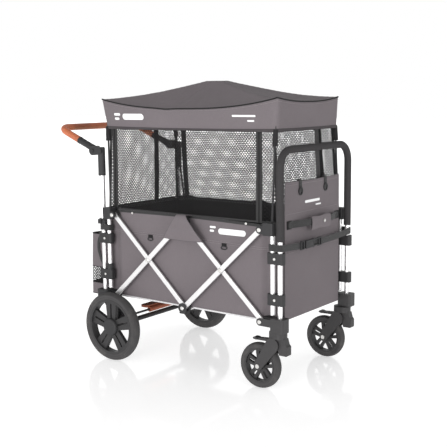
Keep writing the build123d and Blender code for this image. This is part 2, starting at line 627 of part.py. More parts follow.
def along(distance, y=HANDLE_ARM_Y):
    """A point on the handle's arm, at a distance from its hinge."""
    return (HINGE_X + HANDLE_U.X * distance, y, HINGE_Z + HANDLE_U.Z * distance)


def handle():
    bore = HANDLE_TUBE_D / 2 + FIT_GAP
    tube = disc_z(-POST_X, SIDE_Y, HANDLE_TUBE_D / 2, (HANDLE_TUBE_LOW_Z, HANDLE_TUBE_TOP_Z))
    inside = (HANDLE_TUBE_LOW_Z - 1, HANDLE_TUBE_TOP_Z + 1)
    save("handle_tubes", *both(tube - disc_z(-POST_X, SIDE_Y, TUBE_R + SLIDE_GAP, inside)))
    collar = disc_z(-POST_X, SIDE_Y, COLLAR_R, COLLAR_Z)
    lug = (SIDE_Y + COLLAR_R - 3, SIDE_Y + COLLAR_R + 8)
    collar += box((-POST_X - 8, -POST_X + 8), lug, (COLLAR_Z[0] + 2, COLLAR_Z[1] - 2))
    collar -= disc_z(-POST_X, SIDE_Y, bore, (HANDLE_TUBE_LOW_Z, COLLAR_Z[1] + 1))
    collar -= disc_z(-POST_X, SIDE_Y, TUBE_R + SLIDE_GAP, (COLLAR_Z[0] - 1, COLLAR_Z[1]))
    save("handle_collars", *both(collar))
    boss_out = BOSS_Y + BOSS_THICK
    button_in = boss_out - BUTTON_TRAVEL - 4
    sleeve = disc_z(-POST_X, SIDE_Y, SOCKET_R, (SOCKET_LOW_Z, HINGE_Z + SOCKET_R))
    sleeve = fillet(sleeve.edges().group_by(Axis.Z)[-1], 6)
    boss = slab(link((-POST_X, HINGE_Z), (HINGE_X, HINGE_Z), SOCKET_R - 1, HINGE_R), (BOSS_Y, boss_out))
    lower = sleeve + boss - disc_z(-POST_X, SIDE_Y, bore, (SOCKET_LOW_Z - 1, HANDLE_TUBE_TOP_Z + FIT_GAP))
    button_bore = (button_in - BUTTON_TRAVEL - SLIDE_GAP, boss_out + 1)
    lower -= disc_y(HINGE_X, HINGE_Z, BUTTON_D / 2 + SLIDE_GAP, button_bore)
    lower -= disc_y(HINGE_X, HINGE_Z, BOLT_D / 2 + FIT_GAP, (BOSS_Y - 1, button_in))
    save("handle_lower_sockets", *both(lower))
    button = disc_y(HINGE_X, HINGE_Z, BUTTON_D / 2, (button_in, boss_out + BUTTON_TRAVEL))
    button = fillet(button.edges().group_by(Axis.Y)[-1], 1.5)
    save("hinge_button_left", button)
    save("hinge_button_right", mirror(button, about=Plane.XZ))
    disc_in = HANDLE_ARM_Y - 7
    upper = disc_y(HINGE_X, HINGE_Z, HINGE_R, (disc_in, BOSS_Y - SIDE_GAP))
    neck_end = along(LOOP_D * 1.5)
    upper += slab(link((HINGE_X, HINGE_Z), (neck_end[0], neck_end[2]), 13), (disc_in, HANDLE_ARM_Y + 7))
    upper += rod(along(HINGE_R + 3), along(GRIP_START - SIDE_GAP), UPPER_SOCKET_R)
    upper -= rod(neck_end, along(GRIP_START), LOOP_D / 2 + FIT_GAP)
    pin_end = button_in - BUTTON_TRAVEL - 2 * SIDE_GAP
    upper += disc_y(HINGE_X, HINGE_Z, BOLT_D / 2, (disc_in, pin_end))
    save("handle_upper_sockets", *both(upper))
    route = [along(LOOP_D * 1.5 + SIDE_GAP, y=-HANDLE_ARM_Y), along(HANDLE_REACH, y=-HANDLE_ARM_Y)]
    route += [along(HANDLE_REACH), along(LOOP_D * 1.5 + SIDE_GAP)]
    save("handle_loop", pipe(route, LOOP_BEND_R, LOOP_D, LOOP_D - 2 * TUBE_WALL))
    route[0], route[-1] = along(GRIP_START, y=-HANDLE_ARM_Y), along(GRIP_START)
    save("handle_grip", pipe(route, LOOP_BEND_R, GRIP_D, LOOP_D + 2 * FIT_GAP))


# ---- cloth ----


def tub_plan(inset):
    """The tub's outline from above: a little wider between the corner tubes than at them."""
    wide_x = BLOCK_X - CLOTH_GAP
    middle = Rectangle(2 * (wide_x - inset), 2 * (TUB_SIDE_Y - inset))
    length = TUB_FRONT_X - TUB_REAR_X - 2 * inset
    ends = Pos((TUB_FRONT_X + TUB_REAR_X) / 2, 0) * Rectangle(length, 2 * (TUB_CORNER_Y - inset))
    return middle + ends


def roof(inset):
    """The canopy's roof and sides as a filled solid, smaller all round by inset."""
    x = (ROOF_REAR_X + inset, ROOF_FRONT_X - inset)
    y = ROOF_SIDE_Y - inset
    low = Pos((x[0] + x[1]) / 2, 0, EAVE_Z) * Rectangle(x[1] - x[0], 2 * y)
    high = Pos(sum(PEAK_X) / 2, 0, PEAK_Z - inset) * Rectangle(PEAK_X[1] - PEAK_X[0], 2 * CLOTH)
    sides = box(x, (-y, y), (VALANCE_LOW_Z - (1 if inset else 0), EAVE_Z))
    return sides + loft([low, high], ruled=True)


def cloth():
    tub = extrude(Pos(0, 0, TUB_LOW_Z) * tub_plan(0), amount=TUB_TOP_Z - TUB_LOW_Z)
    inside = extrude(Pos(0, 0, TUB_LOW_Z + CLOTH) * tub_plan(CLOTH), amount=TUB_TOP_Z - TUB_LOW_Z)
    save("tub", tub - inside)
    save("floor_mat", extrude(Pos(0, 0, TUB_LOW_Z + CLOTH) * tub_plan(CLOTH + SIDE_GAP), amount=MAT_THICK))
    canopy = roof(0) - roof(CLOTH)
    for sign in (1, -1):
        foot, tip = canopy_rod_ends(sign)
        for shape in both(rod(foot, tip, ROD_D / 2 + CLOTH)):
            canopy -= shape
    save("canopy", canopy)
    x = (ROOF_REAR_X + NET_INSET, ROOF_FRONT_X - NET_INSET)
    y = ROOF_SIDE_Y - NET_INSET
    z = (TUB_TOP_Z + SIDE_GAP, VALANCE_LOW_Z - SIDE_GAP)
    inner_x = (x[0] + NET_THICK, x[1] - NET_THICK)
    inner_y = (-y + NET_THICK, y - NET_THICK)
    save("side_netting", box(x, (-y, y), z) - box(inner_x, inner_y, (z[0] - 1, z[1] + 1)))
    panel_z = (TUB_TOP_Z + SIDE_GAP, PANEL_TOP_Z)
    save("front_panel", box((PANEL_FRONT_X - CLOTH, PANEL_FRONT_X), PANEL_Y, panel_z))


os.makedirs("parts", exist_ok=True)
scissor_arms()
mid_brackets()
sliders()
front_frame()
rear_frame()
brake()
casters()
rear_wheels()
handle()
cloth()
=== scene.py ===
"""A kids' folding pull wagon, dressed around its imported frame.

The frame gives every place. Each class below makes one sub-assembly's cloth, straps and trim, gives it its finish
and fixes it to the bodies it moves with. Lengths are metres in the frame's axes: +X points to the swivel wheels,
+Y to the wagon's left and +Z up. Places along X are counted from the middle of the scissor fold.
"""

import logging
from contextlib import contextmanager
from dataclasses import dataclass, field
from enum import Enum
from functools import lru_cache
from math import atan2, ceil, copysign, cos, exp, pi, radians, sin, sqrt, tan
from typing import Any, Callable, Iterator, Mapping, Sequence, Union

import bmesh
import bpy
from mathutils import Matrix, Vector, noise


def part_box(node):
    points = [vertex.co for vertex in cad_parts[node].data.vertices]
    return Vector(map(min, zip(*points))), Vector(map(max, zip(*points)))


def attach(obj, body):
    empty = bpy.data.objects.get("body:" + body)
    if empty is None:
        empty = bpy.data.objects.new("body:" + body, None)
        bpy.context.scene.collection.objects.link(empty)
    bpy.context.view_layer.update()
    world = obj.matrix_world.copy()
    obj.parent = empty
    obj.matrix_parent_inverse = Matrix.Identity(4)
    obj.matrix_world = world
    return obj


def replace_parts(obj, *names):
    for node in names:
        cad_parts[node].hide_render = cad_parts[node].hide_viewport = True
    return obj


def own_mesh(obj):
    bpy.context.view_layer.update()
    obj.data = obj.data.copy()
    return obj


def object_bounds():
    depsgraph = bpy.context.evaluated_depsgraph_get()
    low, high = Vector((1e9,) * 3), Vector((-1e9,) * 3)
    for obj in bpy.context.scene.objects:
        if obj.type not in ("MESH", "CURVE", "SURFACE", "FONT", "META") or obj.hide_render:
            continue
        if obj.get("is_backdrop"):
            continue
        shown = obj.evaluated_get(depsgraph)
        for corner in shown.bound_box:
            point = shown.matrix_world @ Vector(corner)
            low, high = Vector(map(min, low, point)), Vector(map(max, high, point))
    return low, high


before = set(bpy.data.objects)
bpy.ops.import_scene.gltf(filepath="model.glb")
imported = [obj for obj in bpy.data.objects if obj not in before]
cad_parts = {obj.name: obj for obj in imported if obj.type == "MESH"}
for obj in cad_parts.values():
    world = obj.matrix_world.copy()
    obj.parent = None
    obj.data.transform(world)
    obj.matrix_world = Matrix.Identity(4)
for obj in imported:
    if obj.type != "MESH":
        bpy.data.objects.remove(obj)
CAD_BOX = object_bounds()

log = logging.getLogger("wagon")
Colour = tuple[float, float, float]
Surface = Callable[[float, float], Vector]
Mark = tuple[tuple[float, float], tuple[float, float]]
Piece = bpy.types.Object


class Side(Enum):
    """The two sides of the wagon."""

    LEFT = 1
    RIGHT = -1


class End(Enum):
    """The two ends of the wagon."""

    FRONT = 1
    REAR = -1


class Coordinates(Enum):
    """What a pattern follows: the piece's own axes, the cloth's cut, or the way into the sky."""

    OBJECT = "Object"
    CUT = "UV"
    SKY = "Generated"


# ---- shader building ----


class Value:
    """A shader socket that Python arithmetic works on."""

    def __init__(self, shader: "NodeTree", socket: bpy.types.NodeSocket) -> None:
        """Wrap one output socket of a shader's node."""
        self.shader, self.socket = shader, socket

    def __add__(self, other: "Number") -> "Value":
        """Add."""
        return self.shader.math("ADD", self, other)

    def __radd__(self, other: "Number") -> "Value":
        """Add, reflected."""
        return self.shader.math("ADD", other, self)

    def __rsub__(self, other: "Number") -> "Value":
        """Subtract from a number."""
        return self.shader.math("SUBTRACT", other, self)

    def __mul__(self, other: "Number") -> "Value":
        """Multiply."""
        return self.shader.math("MULTIPLY", self, other)

    def __rmul__(self, other: "Number") -> "Value":
        """Multiply, reflected."""
        return self.shader.math("MULTIPLY", other, self)


Number = Union[Value, float]


class NodeTree:
    """A node tree and the few kinds of node that the finishes and the sky use."""

    def __init__(self, tree: bpy.types.NodeTree) -> None:
        """Start with the tree empty."""
        self.tree = tree
        tree.nodes.clear()

    def node(
        self, kind: str, settings: Mapping[str, Any] | None = None, sockets: Mapping[Any, Any] | None = None
    ) -> bpy.types.Node:
        """Add a node, with its settings first and then its sockets.

        Args:
            kind: the node's type.
            settings: the node's own properties, or a ramp's "stops" as (place, colour) pairs.
            sockets: values or links by the input's name or number.

        Returns:
            The new node.
        """
        made = self.tree.nodes.new(kind)
        for key, setting in (settings or {}).items():
            if key == "stops":
                ramp = made.color_ramp
                while len(ramp.elements) < len(setting):
                    ramp.elements.new(0.5)
                for element, (place, colour) in zip(ramp.elements, setting):
                    element.position, element.color = place, (*colour, 1.0)
            else:
                setattr(made, key, setting)
        for key, given in (sockets or {}).items():
            if isinstance(given, Value):
                self.tree.links.new(given.socket, made.inputs[key])
            else:
                made.inputs[key].default_value = given
        return made

    def math(self, operation: str, first: Number, second: Number = 0.0, clamp: bool = False) -> Value:
        """A Math node's result."""
        made = self.node("ShaderNodeMath", {"operation": operation, "use_clamp": clamp}, {0: first, 1: second})
        return Value(self, made.outputs[0])

    def sine(self, angle: Number) -> Value:
        """The sine of an angle in radians."""
        return self.math("SINE", angle)

    def absolute(self, given: Number) -> Value:
        """The size of a number without its sign."""
        return self.math("ABSOLUTE", given)

    def step(self, given: Number, low: float, high: float) -> Value:
        """A soft step from 0 at low to 1 at high.

        Args:
            given: the number that steps.
            low: where the step starts.
            high: where it ends.

        Returns:
            A number from 0 to 1.
        """
        made = self.node(
            "ShaderNodeMapRange",
            {"interpolation_type": "SMOOTHSTEP"},
            {"Value": given, "From Min": low, "From Max": high},
        )
        return Value(self, made.outputs[0])

    def mix(self, factor: Number, first: Value | Colour, second: Value | Colour) -> Value:
        """Blend two colours.

        Args:
            factor: the share of the second colour.
            first: a colour or a colour socket.
            second: the other one.

        Returns:
            The blended colour.
        """
        pair = [given if isinstance(given, Value) else (*given, 1.0) for given in (first, second)]
        made = self.node(
            "ShaderNodeMix", {"data_type": "RGBA", "clamp_factor": True}, {0: factor, 6: pair[0], 7: pair[1]}
        )
        return Value(self, made.outputs[2])

    def coordinates(self, kind: Coordinates, stretch: Colour = (1.0, 1.0, 1.0)) -> Value:
        """The place on the piece in metres, stretched along its axes.

        Args:
            kind: the object's own axes or the cloth's cut.
            stretch: a factor for each axis.

        Returns:
            A vector.
        """
        place = self.node("ShaderNodeTexCoord")
        made = self.node(
            "ShaderNodeVectorMath",
            {"operation": "MULTIPLY"},
            {0: Value(self, place.outputs[kind.value]), 1: stretch},
        )
        return Value(self, made.outputs[0])

    def parts(self, vector: Value) -> tuple[Value, Value, Value]:
        """The three parts of a vector."""
        made = self.node("ShaderNodeSeparateXYZ", sockets={0: vector})
        return Value(self, made.outputs[0]), Value(self, made.outputs[1]), Value(self, made.outputs[2])

    def grain(self, vector: Value, scale: float, detail: float = 3.0, roughness: float = 0.55) -> Value:
        """Smooth noise from 0 to 1.

        Args:
            vector: where it is read.
            scale: how many lumps there are in a metre.
            detail: how many finer layers it has.
            roughness: how strong those are.

        Returns:
            A number from 0 to 1.
        """
        made = self.node(
            "ShaderNodeTexNoise",
            sockets={"Vector": vector, "Scale": scale, "Detail": detail, "Roughness": roughness},
        )
        return Value(self, made.outputs[0])

    def cells(self, vector: Value, scale: float, feature: str = "F1") -> Value:
        """The distance inside a cell pattern, such as pebbled grain."""
        made = self.node(
            "ShaderNodeTexVoronoi", {"feature": feature}, {"Vector": vector, "Scale": scale}
        )
        return Value(self, made.outputs["Distance"])

    def relief(self, height: Value, depth: float, strength: float = 1.0) -> Value:
        """A normal that follows a height.

        Args:
            height: the height's share, 0 to 1.
            depth: what a height of 1 is in metres.
            strength: how much of it shows.

        Returns:
            The normal, for the surface.
        """
        made = self.node("ShaderNodeBump", sockets={"Strength": strength, "Distance": depth, "Height": height})
        return Value(self, made.outputs[0])


class Shader(NodeTree):
    """A material with one Principled surface."""

    def __init__(self, name: str) -> None:
        """Start the material.

        Args:
            name: the material's name.
        """
        self.material = bpy.data.materials.new(name)
        self.material.use_nodes = True
        super().__init__(self.material.node_tree)
        output = self.node("ShaderNodeOutputMaterial")
        self.surface = self.node("ShaderNodeBsdfPrincipled")
        self.tree.links.new(self.surface.outputs["BSDF"], output.inputs["Surface"])

    def dress(self, **sockets: Any) -> None:
        """Set the surface's sockets, named with underscores for spaces."""
        for key, given in sockets.items():
            socket = self.surface.inputs[key.replace("_", " ")]
            if isinstance(given, Value):
                self.tree.links.new(given.socket, socket)
            elif isinstance(given, tuple) and len(given) == 3:
                socket.default_value = (*given, 1.0)
            else:
                socket.default_value = given


# ---- finishes ----


def shade(colour: Colour, share: float) -> Colour:
    """A colour made lighter or darker by a factor."""
    return tuple(min(1.0, part * share) for part in colour)


@dataclass(frozen=True)
class Finish:
    """What a surface is made of, made into one material under the finish's own name."""

    name: str
    slot: str
    colour: Colour
    coordinates: Coordinates = Coordinates.OBJECT

    def material(self) -> bpy.types.Material:
        """The finish's material, built the first time it is asked for."""
        made = bpy.data.materials.get(self.name)
        if made is None:
            shader = Shader(self.name)
            self.build(shader)
            made = shader.material
        return made

    def build(self, shader: Shader) -> None:
        """Fill in the shader.

        Args:
            shader: the material's empty shader.
        """
        raise NotImplementedError

    def apply(self, piece: Piece) -> Piece:
        """Give a new piece this finish.

        Args:
            piece: the object to dress.

        Returns:
            The same object.
        """
        piece.data.materials.clear()
        piece.data.materials.append(self.material())
        return piece


@dataclass(frozen=True)
class Weave(Finish):
    """Woven cloth: over and under threads, heathered yarn and slow fading."""

    coordinates: Coordinates = Coordinates.CUT
    thread: float = 0.0011
    roughness: float = 0.82
    sheen: float = 0.06
    fade: float = 0.16

    def build(self, shader: Shader) -> None:
        """Fill in the shader.

        Args:
            shader: the material's empty shader.
        """
        place = shader.coordinates(self.coordinates)
        across, along, up = shader.parts(place)
        if self.coordinates is Coordinates.OBJECT:
            across = across + along
            along = up
        turn = pi / self.thread
        warp = shader.absolute(shader.sine(across * turn))
        weft = shader.absolute(shader.sine(along * turn))
        over = shader.step(shader.sine(across * turn) * shader.sine(along * turn), -0.25, 0.25)
        thread = over * warp + (1 - over) * weft
        yarn = shader.grain(shader.coordinates(self.coordinates, (260.0, 45.0, 45.0)), 1.0, 4.0)
        slub = shader.grain(shader.coordinates(self.coordinates, (45.0, 320.0, 320.0)), 1.0, 3.0)
        fading = shader.grain(place, 5.0, 4.0, 0.5)
        tone = 0.42 * thread + 0.34 * yarn + 0.24 * slub
        cloth = shader.mix(tone, shade(self.colour, 0.76), shade(self.colour, 1.26))
        worn = shader.mix(shader.step(fading, 0.35, 0.75) * self.fade, cloth, shade(self.colour, 1.45))
        shader.dress(
            Base_Color=worn,
            Roughness=self.roughness + 0.1 * yarn,
            Normal=shader.relief(thread + 0.5 * slub, self.thread * 0.22, 0.55),
            Sheen_Weight=self.sheen,
            Sheen_Roughness=0.45,
            Specular_IOR_Level=0.12,
        )


@dataclass(frozen=True)
class Webbing(Finish):
    """Narrow woven tape with a slanting rib and fuzzy edges."""

    coordinates: Coordinates = Coordinates.CUT
    rib: float = 0.0022

    def build(self, shader: Shader) -> None:
        """Fill in the shader.

        Args:
            shader: the material's empty shader.
        """
        place = shader.coordinates(self.coordinates)
        along, across, _ = shader.parts(place)
        turn = 2 * pi / self.rib
        herring = shader.absolute(shader.sine(across * (pi / 0.006)))
        ribs = 0.5 + 0.5 * shader.sine((along + 0.004 * herring) * turn)
        fuzz = shader.grain(place, 900.0, 2.0)
        worn = shader.step(shader.grain(place, 30.0), 0.55, 0.8)
        tape = shader.mix(0.6 * ribs + 0.4 * fuzz, shade(self.colour, 0.6), shade(self.colour, 1.7))
        shader.dress(
            Base_Color=shader.mix(0.3 * worn, tape, shade(self.colour, 2.4)),
            Roughness=0.66 + 0.2 * fuzz,
            Normal=shader.relief(ribs + 0.3 * fuzz, 0.00035, 0.7),
            Sheen_Weight=0.15,
        )


@dataclass(frozen=True)
class Moulded(Finish):
    """Moulded plastic with a spark-eroded grain, flow marks and rubbed high spots."""

    grain: float = 1400.0
    roughness: float = 0.48
    depth: float = 0.00012
    dust: float = 0.25

    def build(self, shader: Shader) -> None:
        """Fill in the shader.

        Args:
            shader: the material's empty shader.
        """
        place = shader.coordinates(self.coordinates)
        pebble = shader.cells(place, self.grain)
        fine = shader.grain(place, self.grain * 0.7, 2.0)
        flow = shader.grain(shader.coordinates(self.coordinates, (9.0, 9.0, 26.0)), 1.0, 4.0)
        rubbed = shader.step(shader.grain(place, 42.0, 5.0, 0.62), 0.52, 0.78)
        base = shader.mix(0.5 * flow + 0.5 * fine, shade(self.colour, 0.82), shade(self.colour, 1.22))
        shader.dress(
            Base_Color=shader.mix(rubbed * self.dust, base, shade(self.colour, 1.9)),
            Roughness=self.roughness + 0.12 * flow + 0.1 * rubbed,
            Normal=shader.relief(pebble + 0.4 * fine, self.depth, 0.5),
            Specular_IOR_Level=0.3,
        )


@dataclass(frozen=True)
class Anodised(Finish):
    """Satin anodised aluminium tube: drawn lines, a soft haze and a few rub marks."""

    roughness: float = 0.3
    lines: Colour = (700.0, 700.0, 6.0)

    def build(self, shader: Shader) -> None:
        """Fill in the shader.

        Args:
            shader: the material's empty shader.
        """
        place = shader.coordinates(self.coordinates)
        drawn = shader.grain(shader.coordinates(self.coordinates, self.lines), 1.0, 2.0)
        haze = shader.grain(place, 14.0, 4.0)
        rub = shader.step(shader.grain(place, 90.0, 4.0, 0.7), 0.62, 0.8)
        shader.dress(
            Base_Color=shader.mix(0.5 * haze + 0.3 * drawn, shade(self.colour, 0.9), shade(self.colour, 1.06)),
            Metallic=0.92,
            Roughness=self.roughness + 0.14 * haze + 0.12 * rub,
            Normal=shader.relief(drawn, 0.00005, 0.35),
        )


@dataclass(frozen=True)
class Rubber(Finish):
    """Moulded tyre rubber: matt, faintly lined round the tread, with dust in the grain."""

    roughness: float = 0.78

    def build(self, shader: Shader) -> None:
        """Fill in the shader.

        Args:
            shader: the material's empty shader.
        """
        place = shader.coordinates(self.coordinates)
        _, across, _ = shader.parts(place)
        lines = 0.5 + 0.5 * shader.sine(across * (2 * pi / 0.0019))
        grit = shader.grain(place, 1100.0, 3.0)
        dusty = shader.step(shader.grain(place, 26.0, 5.0, 0.6), 0.45, 0.8)
        base = shader.mix(0.4 * lines + 0.6 * grit, shade(self.colour, 0.75), shade(self.colour, 1.25))
        shader.dress(
            Base_Color=shader.mix(0.3 * dusty, base, (0.16, 0.15, 0.14)),
            Roughness=self.roughness + 0.14 * dusty,
            Normal=shader.relief(0.7 * lines + 0.5 * grit, 0.00022, 0.6),
            Specular_IOR_Level=0.35,
        )


@dataclass(frozen=True)
class Foam(Finish):
    """Closed-cell foam sleeve: tiny open pores over a dull skin."""

    def build(self, shader: Shader) -> None:
        """Fill in the shader.

        Args:
            shader: the material's empty shader.
        """
        place = shader.coordinates(self.coordinates)
        pore = shader.step(shader.cells(place, 620.0), 0.12, 0.5)
        skin = shader.grain(place, 60.0, 5.0)
        base = shader.mix(pore, shade(self.colour, 0.55), shade(self.colour, 1.1))
        shader.dress(
            Base_Color=shader.mix(0.4 * skin, base, shade(self.colour, 1.45)),
            Roughness=0.78 + 0.14 * skin,
            Normal=shader.relief(pore + 0.5 * skin, 0.0003, 0.6),
            Sheen_Weight=0.02,
            Specular_IOR_Level=0.10,
        )


@dataclass(frozen=True)
class Leather(Finish):
    """Pebbled leather with darker creases, patchy dye and a thin polish."""

    def build(self, shader: Shader) -> None:
        """Fill in the shader.

        Args:
            shader: the material's empty shader.
        """
        place = shader.coordinates(self.coordinates)
        pebble = shader.step(shader.cells(place, 520.0, "DISTANCE_TO_EDGE"), 0.0, 0.22)
        crease = shader.grain(shader.coordinates(self.coordinates, (60.0, 160.0, 60.0)), 1.0, 5.0, 0.65)
        dye = shader.grain(place, 11.0, 3.0)
        base = shader.mix(pebble, shade(self.colour, 0.5), self.colour)
        patchy = shader.mix(shader.step(dye, 0.35, 0.7), base, shade(self.colour, 1.22))
        shader.dress(
            Base_Color=shader.mix(0.45 * shader.step(crease, 0.55, 0.75), patchy, shade(self.colour, 0.55)),
            Roughness=0.44 + 0.2 * crease,
            Normal=shader.relief(pebble + 0.8 * crease, 0.00028, 0.7),
            Coat_Weight=0.12,
            Coat_Roughness=0.35,
        )


@dataclass(frozen=True)
class Print(Finish):
    """Screen-printed ink: nearly flat, with the weave showing through and small misses."""

    coordinates: Coordinates = Coordinates.CUT

    def build(self, shader: Shader) -> None:
        """Fill in the shader.

        Args:
            shader: the material's empty shader.
        """
        place = shader.coordinates(self.coordinates)
        across, along, _ = shader.parts(place)
        turn = pi / 0.0011
        weave = shader.absolute(shader.sine(across * turn) * shader.sine(along * turn))
        miss = shader.step(shader.grain(place, 420.0, 4.0, 0.7), 0.62, 0.74)
        shader.dress(
            Base_Color=shader.mix(0.35 * miss + 0.1 * weave, self.colour, shade(self.colour, 0.6)),
            Roughness=0.5 + 0.15 * weave,
            Normal=shader.relief(weave, 0.0001, 0.4),
        )


GREY_CANVAS = Weave("grey_canvas", "grey_cloth", (0.150, 0.132, 0.140))
GREY_BINDING = Weave("grey_binding", "grey_cloth", (0.060, 0.054, 0.057), thread=0.0008)
BLACK_LINING = Weave("black_lining", "black_cloth", (0.024, 0.0232, 0.024), thread=0.0009, fade=0.3)
MAT_CLOTH = Weave("mat_cloth", "black_cloth", (0.022, 0.021, 0.022), Coordinates.OBJECT, thread=0.0013, fade=0.3)
NET_YARN = Weave("net_yarn", "black_mesh", (0.018, 0.0175, 0.018), thread=0.0006, sheen=0.1, fade=0.2)
GREY_CORD = Weave("grey_cord", "grey_cloth", (0.110, 0.099, 0.104), Coordinates.OBJECT, thread=0.0007)
BLACK_CORD = Weave("black_cord", "black_cloth", (0.019, 0.0185, 0.019), Coordinates.OBJECT, thread=0.0007)
TAPE = Webbing("black_tape", "black_webbing", (0.017, 0.0165, 0.017))
THREAD_GREY = Weave("grey_thread", "grey_cloth", (0.30, 0.27, 0.28), Coordinates.OBJECT, thread=0.0005)
THREAD_TAN = Weave("tan_thread", "tan_leather", (0.62, 0.36, 0.20), Coordinates.OBJECT, thread=0.0005)
SILVER_PIPING = Weave("silver_piping", "grey_cloth", (0.62, 0.61, 0.62), Coordinates.OBJECT, thread=0.0007)
SILVER_TUBE = Anodised("silver_anodised", "silver_tube", (0.86, 0.85, 0.855))
SILVER_ARM = Anodised("silver_arm", "silver_tube", (0.82, 0.812, 0.814), roughness=0.36, lines=(40.0, 700.0, 40.0))
ZINC = Anodised("zinc_plate", "zinc_bolt", (0.70, 0.69, 0.67), roughness=0.26, lines=(300.0, 300.0, 300.0))
BLACK_PLASTIC = Moulded("black_moulded", "black_plastic", (0.030, 0.0295, 0.031))
GREY_PLASTIC = Moulded("charcoal_moulded", "grey_plastic", (0.043, 0.0412, 0.0422), roughness=0.42)
RIM_PLASTIC = Moulded("rim_moulded", "rim_plastic", (0.034, 0.033, 0.034), roughness=0.4, grain=900.0)
PEDAL_PLASTIC = Moulded("pedal_moulded", "black_plastic", (0.36, 0.105, 0.055), roughness=0.5)
TYRE = Rubber("tyre_tread", "tyre_rubber", (0.052, 0.050, 0.051))
BAR_FOAM = Foam("foam_sleeve", "bar_foam", (0.040, 0.0380, 0.0392))
TAN_LEATHER = Leather("grip_leather", "tan_leather", (0.47, 0.128, 0.052))
WHITE_PRINT = Print("white_print", "grey_cloth", (0.86, 0.86, 0.86))


# ---- bench work: the few ways in which pieces are made ----


def clear_selection() -> None:
    """Deselect everything, so that an operator acts on the new piece alone."""
    for other in bpy.context.selected_objects:
        other.select_set(False)


def activate(piece: Piece) -> None:
    """Select one piece and make it the active one."""
    clear_selection()
    piece.select_set(True)
    bpy.context.view_layer.objects.active = piece


def named(name: str) -> Piece:
    """Give the active object and its data a name, and return it."""
    piece = bpy.context.view_layer.objects.active
    piece.name = name
    piece.data.name = name
    return piece


@contextmanager
def editing(piece: Piece) -> Iterator[bmesh.types.BMesh]:
    """Open a piece in edit mode with nothing selected.

    Args:
        piece: the mesh object to edit.

    Yields:
        The edit mesh, in which faces and edges are selected.
    """
    activate(piece)
    bpy.ops.object.mode_set(mode="EDIT")
    bpy.ops.mesh.select_all(action="DESELECT")
    try:
        yield bmesh.from_edit_mesh(piece.data)
    finally:
        bpy.ops.object.mode_set(mode="OBJECT")


def select_faces(piece: Piece, mesh: bmesh.types.BMesh, test: Callable[[Any], bool]) -> None:
    """Select the faces that pass a test, and nothing else.

    Args:
        piece: the object in edit mode.
        mesh: its edit mesh.
        test: what a face has to pass.
    """
    for face in mesh.faces:
        face.select_set(False)
    mesh.select_mode = {"FACE"}
    for face in mesh.faces:
        if test(face):
            face.select_set(True)
    bmesh.update_edit_mesh(piece.data)


def put(piece: Piece, matrix: Matrix) -> Piece:
    """Move a piece's mesh, so that its object stays at the origin."""
    piece.data.transform(matrix)
    if matrix.determinant() < 0:
        piece.data.flip_normals()
    return piece


def apply_modifier(piece: Piece, kind: str, **settings: Any) -> None:
    """Add a modifier and apply it.

    Args:
        piece: the object it works on.
        kind: the modifier's type.
        settings: its properties.
    """
    activate(piece)
    added = piece.modifiers.new(kind.lower(), kind)
    for key, setting in settings.items():
        setattr(added, key, setting)
    bpy.ops.object.modifier_apply(modifier=added.name)


def smooth(piece: Piece, angle: float = 35.0) -> Piece:
    """Shade a piece smoothly, apart from edges sharper than an angle in degrees."""
    activate(piece)
    bpy.ops.object.shade_smooth_by_angle(angle=radians(angle))
    return piece


def face_outwards(piece: Piece) -> None:
    """Turn a closed thin piece's faces round if they point inwards."""
    mesh = bmesh.new()
    mesh.from_mesh(piece.data)
    if mesh.calc_volume(signed=True) < 0:
        piece.data.flip_normals()
    mesh.free()


def weld(piece: Piece, distance: float = 1e-5) -> None:
    """Merge a piece's points that lie on each other."""
    with editing(piece):
        bpy.ops.mesh.select_all(action="SELECT")
        bpy.ops.mesh.remove_doubles(threshold=distance)


def thicken(piece: Piece, thickness: float, offset: float = -1.0) -> Piece:
    """Give a sheet its thickness.

    Args:
        piece: the sheet.
        thickness: in metres.
        offset: -1 puts it behind the surface, 1 in front and 0 on both sides.

    Returns:
        The same sheet, closed.
    """
    apply_modifier(piece, "SOLIDIFY", thickness=thickness, offset=offset, use_even_offset=True, use_rim=True)
    face_outwards(piece)
    return smooth(piece)


def cut_cloth(
    name: str, cells: tuple[int, int], size: tuple[float, float], surface: Surface, closed: bool = False
) -> Piece:
    """Cut a sheet as a grid and lay it on a surface.

    Args:
        name: the piece's name.
        cells: how many faces it has across and along.
        size: its width and length in metres, which its cut coordinates take.
        surface: gives a point for two shares from 0 to 1.
        closed: True where the two ends across meet in a seam.

    Returns:
        The sheet, one face thick.
    """
    clear_selection()
    bpy.ops.mesh.primitive_grid_add(x_subdivisions=cells[0], y_subdivisions=cells[1], size=2, calc_uvs=True)
    piece = named(name)
    for corner in piece.data.uv_layers.active.data:
        corner.uv = (corner.uv.x * size[0], corner.uv.y * size[1])
    for vertex in piece.data.vertices:
        vertex.co = surface((vertex.co.x + 1) / 2, (vertex.co.y + 1) / 2)
    if closed:
        weld(piece)
    return piece


def block(name: str, centre: Vector, size: Colour, round_over: float, segments: int = 3) -> Piece:
    """A block with rounded edges.

    Args:
        name: the piece's name.
        centre: its middle.
        size: along X, Y and Z.
        round_over: the width of its rounded edges.
        segments: how many faces round an edge.

    Returns:
        The piece, with its place in its mesh.
    """
    clear_selection()
    bpy.ops.mesh.primitive_cube_add(size=1)
    piece = named(name)
    put(piece, Matrix.Diagonal((*size, 1.0)))
    with editing(piece):
        bpy.ops.mesh.select_all(action="SELECT")
        bpy.ops.mesh.bevel(offset=round_over, segments=segments, affect="EDGES")
    put(piece, Matrix.Translation(centre))
    return smooth(piece)


